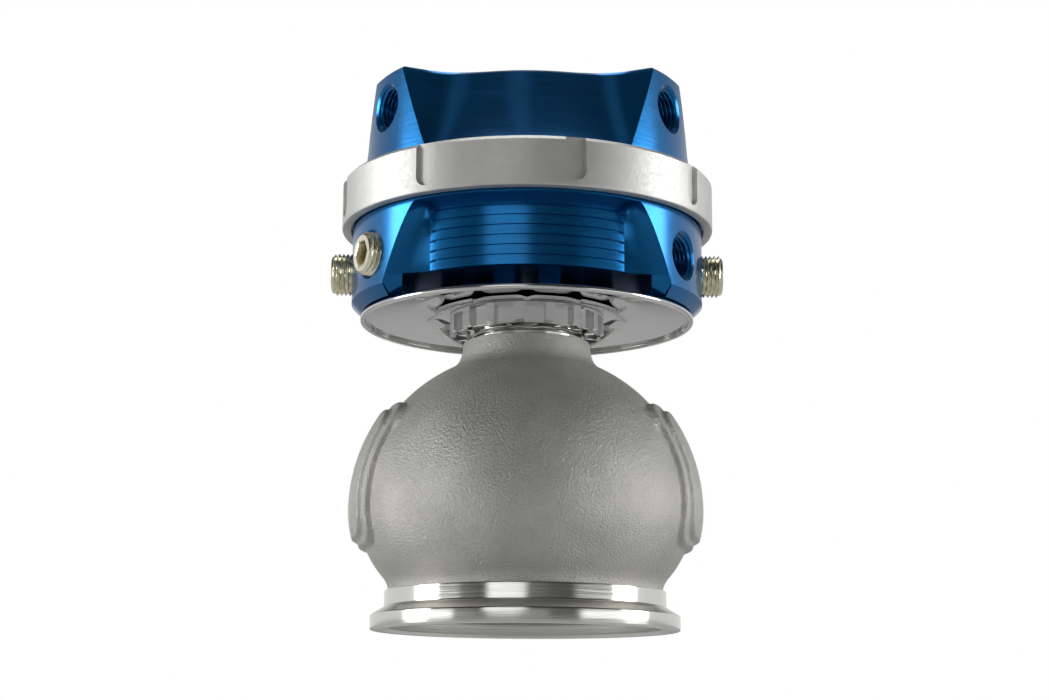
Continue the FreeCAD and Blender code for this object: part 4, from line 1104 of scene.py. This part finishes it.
class WASTEGATE_OT_base(bpy.types.Operator):
    """Blue base: grooved bands, flares, ears with ports, skirt and feet"""

    bl_idname = "wastegate.base"
    bl_label = "Base"

    def execute(self, context):
        patches, polygons = [], []
        for middle in (0, 180):
            patches.append(band_patch(middle))
            for side in (-1, 1):
                patches += flare_patch(middle, side)
                polygons += notch_polygons(middle, side)
            turn = np.linspace(-1, 1, 121)[None, :]
            ceiling = [polar(radius, middle + turn * span, SCALLOP_TOP)
                       for radius, span in ((BAND_RADIUS, BAND_ANGLE),
                                            (BASE_RADIUS, BAND_ANGLE + 0.5))]
            patches.append(np.concatenate(ceiling))
        patches += ear_patches(90, (60, 90)) + ear_patches(-90, (90, 120))
        patches += skirt_patches(90) + skirt_patches(-90)
        patches += [
            turned([(BASE_RADIUS, SCALLOP_TOP), (BASE_RADIUS, SHOULDER), (BASE_THREAD, SHOULDER),
                    (BASE_THREAD, 95.0)], 360, 0),
            turned([(NUT_BORE, THREAD_END), (NUT_BORE, UNDERSIDE), (BAND_RADIUS, UNDERSIDE)],
                   240, 0),
        ]
        patches += [post_patch((index + 0.5) * 360 / POSTS) for index in range(POSTS)]
        made = skin("blue_base", patches, polygons, sharp=25)
        fit(made, "actuator", "blue_anodised", blue(context), "lower_housing")
        return {"FINISHED"}


class WASTEGATE_OT_plugs(bpy.types.Operator):
    """Threaded plugs with hexagon sockets in three of the base's ports"""

    bl_idname = "wastegate.plugs"
    bl_label = "Plugs"

    def execute(self, context):
        values = settings(context)
        finish = plated(tuple(values.plug))
        places = (("front_left", -60, values.front_plug_end), ("left", -90, values.side_plug_end),
                  ("right", 90, values.side_plug_end))
        for name, azimuth, end in places:
            patches = plug_patches(azimuth, BASE_PORT_HEIGHT, end / MM, values.plug_length / MM,
                                   values.socket_flats / MM, SOCKET_DEPTH)
            made = skin("socket_plug_" + name, patches, sharp=30)
            fit(made, "actuator", "nickel_plate", finish, "plug_" + name)
        return {"FINISHED"}


class WASTEGATE_OT_cap(bpy.types.Operator):
    """Blue cap with three ears and their ports"""

    bl_idname = "wastegate.cap"
    bl_label = "Cap"

    def execute(self, context):
        made = skin("blue_cap", *cap_patches(), sharp=25)
        fit(made, "actuator", "blue_anodised", blue(context), "actuator_cap")
        return {"FINISHED"}


class WASTEGATE_OT_collar(bpy.types.Operator):
    """Clear anodised locking collar with spanner slots"""

    bl_idname = "wastegate.collar"
    bl_label = "Collar"

    def execute(self, context):
        made = skin("slotted_collar", collar_patches(), sharp=30)
        finish = satin_aluminium(tuple(settings(context).collar))
        fit(made, "actuator", "clear_anodised", finish, "locking_collar")
        return {"FINISHED"}


class WASTEGATE_OT_inside(bpy.types.Operator):
    """Springs, diaphragm, valve and the small turned pieces on the stem"""

    bl_idname = "wastegate.inside"
    bl_label = "Inside pieces"

    def execute(self, context):
        wire = turned_metal("spring steel", (0.42, 0.43, 0.45), 0.3, depth=0.00001)
        for name, node_name, thick, turns in (("wide_coil", "outer_spring", 3.2, 4.5),
                                              ("narrow_coil", "inner_spring", 2.5, 4.5)):
            low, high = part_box(node_name)
            radius = high[0] / MM - thick / 2
            made = skin(name, *coil(radius, thick, turns, low[2] / MM, high[2] / MM))
            fit(made, "actuator", "spring_steel", wire, node_name)
            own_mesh(made)
        made = skin("rolled_diaphragm", [rolled_diaphragm()], sharp=60)
        made.data.materials.append(rubbery("diaphragm silicone", (0.25, 0.02, 0.012)))
        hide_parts("diaphragm")
        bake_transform(made)
        seat = turned([(25.5, 2.7), (29.35, 2.7), (29.35, 9.5), (27.7, 9.5), (25.5, 7.3),
                       (25.5, 2.7)], 240, 0.15)
        fit(skin("turned_seat", [seat]), "root", "turned_steel", steel(context), "seat_ring")
        head = turned(
            [(0.001, 8.62), (19.5, 7.42), (25.5, 7.42), (27.7, 9.62), (27.7, 11.0), (12.0, 13.2),
             (6.3, 15.6), (4.0, 21.2), (4.0, 86.0), (3.0, 86.0), (3.0, 98.2), (2.5, 98.7),
             (0.001, 98.7)], 200, 0.5,
        )
        finish = turned_metal("valve steel", (0.33, 0.32, 0.31), 0.32)
        fit(skin("poppet", [head]), "valve_group", "valve_steel", finish, "valve")
        plain = {
            "valve_guide": turned_metal("bronze", (0.55, 0.34, 0.14), 0.35),
            "stem_seal": rubbery("seal rubber", (0.02, 0.02, 0.022)),
            "seal_retainer": steel(context),
            "rod_bush": finish_of("bronze", None),
            "rod_seal": finish_of("seal rubber", None),
            "lower_plate": turned_metal("plate aluminium", (0.66, 0.66, 0.66), 0.3),
            "piston": finish_of("plate aluminium", None),
            "stem_washer": steel(context),
            "stem_nut": turned_metal("dark steel", (0.2, 0.2, 0.21), 0.35),
        }
        for name, finish in plain.items():
            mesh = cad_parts[name].data
            mesh.materials.clear()
            mesh.materials.append(finish)
        return {"FINISHED"}


# ------------------------------------------------------------------ stage

# Brightness of the studio's walls by azimuth, 0 towards the camera: near the horizon and
# higher up. CLIMB is where the one gives way to the other, and CEILING fades both. These two
# go by the height of a direction, from -1 straight down to 1 straight up.
LOW_BANDS = (
    (-180, 0.4), (-100, 0.4), (-92, 1.0), (-56, 1.0), (-52, 0.22), (-38, 0.18), (-35, 0.1),
    (-30, 0.1), (-25, 0.38), (-8, 0.42), (-2, 0.2), (15, 0.18), (19, 0.07), (38, 0.07),
    (43, 1.0), (88, 1.0), (96, 0.4), (180, 0.4),
)
HIGH_BANDS = (
    (-180, 0.3), (-125, 0.4), (-100, 0.45), (-80, 0.15), (-40, 0.05), (-33, 0.05), (-29, 0.8),
    (-2, 0.7), (3, 0.08), (40, 0.04), (80, 0.15), (100, 0.45), (125, 0.4), (180, 0.3),
)
CLIMB = (0.13, 0.2)
CEILING = (
    (-1.0, 0.7), (-0.3, 0.85), (-0.06, 1.0), (0.28, 1.0), (0.44, 0.35), (0.76, 0.16), (1.0, 0.16),
)
STUDIO_STRENGTH = 1.9
SOFTBOXES = (  # name, place, size, spread in degrees, power
    ("left softbox", (-1.00, -0.06, 0.24), 0.4, 80, 0.82),
    ("right softbox", (1.00, -0.04, 0.24), 0.4, 80, 0.74),
    ("top softbox", (0.0, 0.50, 1.80), 1.0, 180, 9.0),
)
AIM = Vector((0, 0, 0.06))
CAMERA_PLACE = (0.0, -0.4525, -0.0244)
CAMERA_LENS = 67.1
CAMERA_TILT = 0.1967
CAMERA_ROLL = -0.0055


def studio(tree, vector):
    """Brightness of the studio by direction: the low bands give way to the high bands as the
    direction climbs, and both fade towards the floor and the ceiling."""
    split = node(tree, "ShaderNodeSeparateXYZ", {0: vector}).outputs
    back = node(tree, "ShaderNodeMath", {0: split["Y"], 1: -1.0}, operation="MULTIPLY").outputs[0]
    angle = node(tree, "ShaderNodeMath", {0: split["X"], 1: back}, operation="ARCTAN2").outputs[0]

    def between(value, low, high):
        """A value's share of the way between two limits, kept to 0 and 1."""
        values = {"Value": value, "From Min": low, "From Max": high}
        return node(tree, "ShaderNodeMapRange", values).outputs[0]

    def levels(value, stops, half):
        """Grey levels at stops that run from minus half to half, as the value does from 0 to 1."""
        return ramp(tree, value, [((at + half) / (2 * half), grey(level)) for at, level in stops])

    share = between(angle, -math.pi, math.pi)
    low, high = levels(share, LOW_BANDS, 180), levels(share, HIGH_BANDS, 180)
    walls = mixed(tree, low, high, between(split["Z"], *CLIMB), "MIX")
    return mixed(tree, walls, levels(between(split["Z"], -1.0, 1.0), CEILING, 1))


def pale_floor(height):
    """A wide round floor, plain and pale."""
    radius = np.array([0.001, 60, 200, 1500, 9000])[:, None]
    floor = skin("floor", [polar(radius, np.linspace(0, 360, 97)[None, :], height)])
    made, tree, shader = material("pale floor", {"Roughness": 0.9})
    speckle = noise(tree, object_space(tree), 40, 2)
    tinted(tree, shader, speckle, grey(1), 0.80, 0.82)
    floor.data.materials.append(made)
    return floor


def studio_world():
    """The studio's walls as light and in reflections, and plain white where the camera looks
    past the object."""
    world = bpy.data.worlds.new("studio")
    world.use_nodes = True
    tree = world.node_tree
    surroundings = tree.nodes["Background"]
    place = node(tree, "ShaderNodeTexCoord").outputs["Generated"]
    feed(tree, surroundings, {"Color": studio(tree, place), "Strength": STUDIO_STRENGTH})
    plain = node(tree, "ShaderNodeBackground", {"Color": (1, 1, 1, 1), "Strength": 1.0})
    rays = node(tree, "ShaderNodeLightPath").outputs["Is Camera Ray"]
    sides = {0: rays, 1: surroundings.outputs[0], 2: plain.outputs[0]}
    choice = node(tree, "ShaderNodeMixShader", sides)
    feed(tree, tree.nodes["World Output"], {"Surface": choice.outputs[0]})
    return world


def put(scene, name, data, place, turn):
    """A lamp or camera in its place."""
    holder = bpy.data.objects.new(name, data)
    holder.location, holder.rotation_euler = place, turn
    scene.collection.objects.link(holder)
    return holder


class WASTEGATE_OT_stage(bpy.types.Operator):
    """Floor, studio surroundings, soft lamps and the camera"""

    bl_idname = "wastegate.stage"
    bl_label = "Stage"

    def execute(self, context):
        scene = context.scene
        scene.view_settings.view_transform = "Standard"
        floor = pale_floor(settings(context).floor_height / MM)
        scene.world = studio_world()
        for name, spot, size, spread, power in SOFTBOXES:
            lamp = bpy.data.lights.new(name, "AREA")
            lamp.shape, lamp.size, lamp.spread = "SQUARE", size, math.radians(spread)
            lamp.energy = power
            turn = (AIM - Vector(spot)).to_track_quat("-Z", "Y").to_euler()
            put(scene, name, lamp, spot, turn)
        camera = bpy.data.cameras.new("camera")
        camera.lens, camera.sensor_width, camera.clip_start = CAMERA_LENS, 36.0, 0.01
        turn = Euler((math.pi / 2 + CAMERA_TILT, CAMERA_ROLL, 0), "XYZ")
        scene.camera = put(scene, "camera", camera, CAMERA_PLACE, turn)
        return {"FINISHED"}


# ------------------------------------------------------------------ panel and registration

OPERATORS = (
    WASTEGATE_OT_casting,
    WASTEGATE_OT_flanges,
    WASTEGATE_OT_neck,
    WASTEGATE_OT_base,
    WASTEGATE_OT_plugs,
    WASTEGATE_OT_cap,
    WASTEGATE_OT_collar,
    WASTEGATE_OT_inside,
    WASTEGATE_OT_stage,
)


class WASTEGATE_PT_panel(bpy.types.Panel):
    """Lists the finish's settings and steps"""

    bl_idname = "WASTEGATE_PT_panel"
    bl_label = "Wastegate finish"
    bl_space_type = "VIEW_3D"
    bl_region_type = "UI"
    bl_category = "Wastegate"

    def draw(self, context):
        column = self.layout.column()
        for prop in WastegateSettings.__annotations__:
            column.prop(settings(context), prop)
        for operator in OPERATORS:
            column.operator(operator.bl_idname)


def register():
    for kind in (WastegateSettings, *OPERATORS, WASTEGATE_PT_panel):
        bpy.utils.register_class(kind)
    bpy.types.Scene.wastegate = bpy.props.PointerProperty(type=WastegateSettings)


def unregister():
    del bpy.types.Scene.wastegate
    for kind in reversed((WastegateSettings, *OPERATORS, WASTEGATE_PT_panel)):
        bpy.utils.unregister_class(kind)


def main():
    """Registers the add-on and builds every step."""
    register()
    bpy.ops.wastegate.casting()
    bpy.ops.wastegate.flanges()
    bpy.ops.wastegate.neck()
    bpy.ops.wastegate.base()
    bpy.ops.wastegate.plugs()
    bpy.ops.wastegate.cap()
    bpy.ops.wastegate.collar()
    bpy.ops.wastegate.inside()
    bpy.ops.wastegate.stage()


if __name__ == "__main__":
    main()
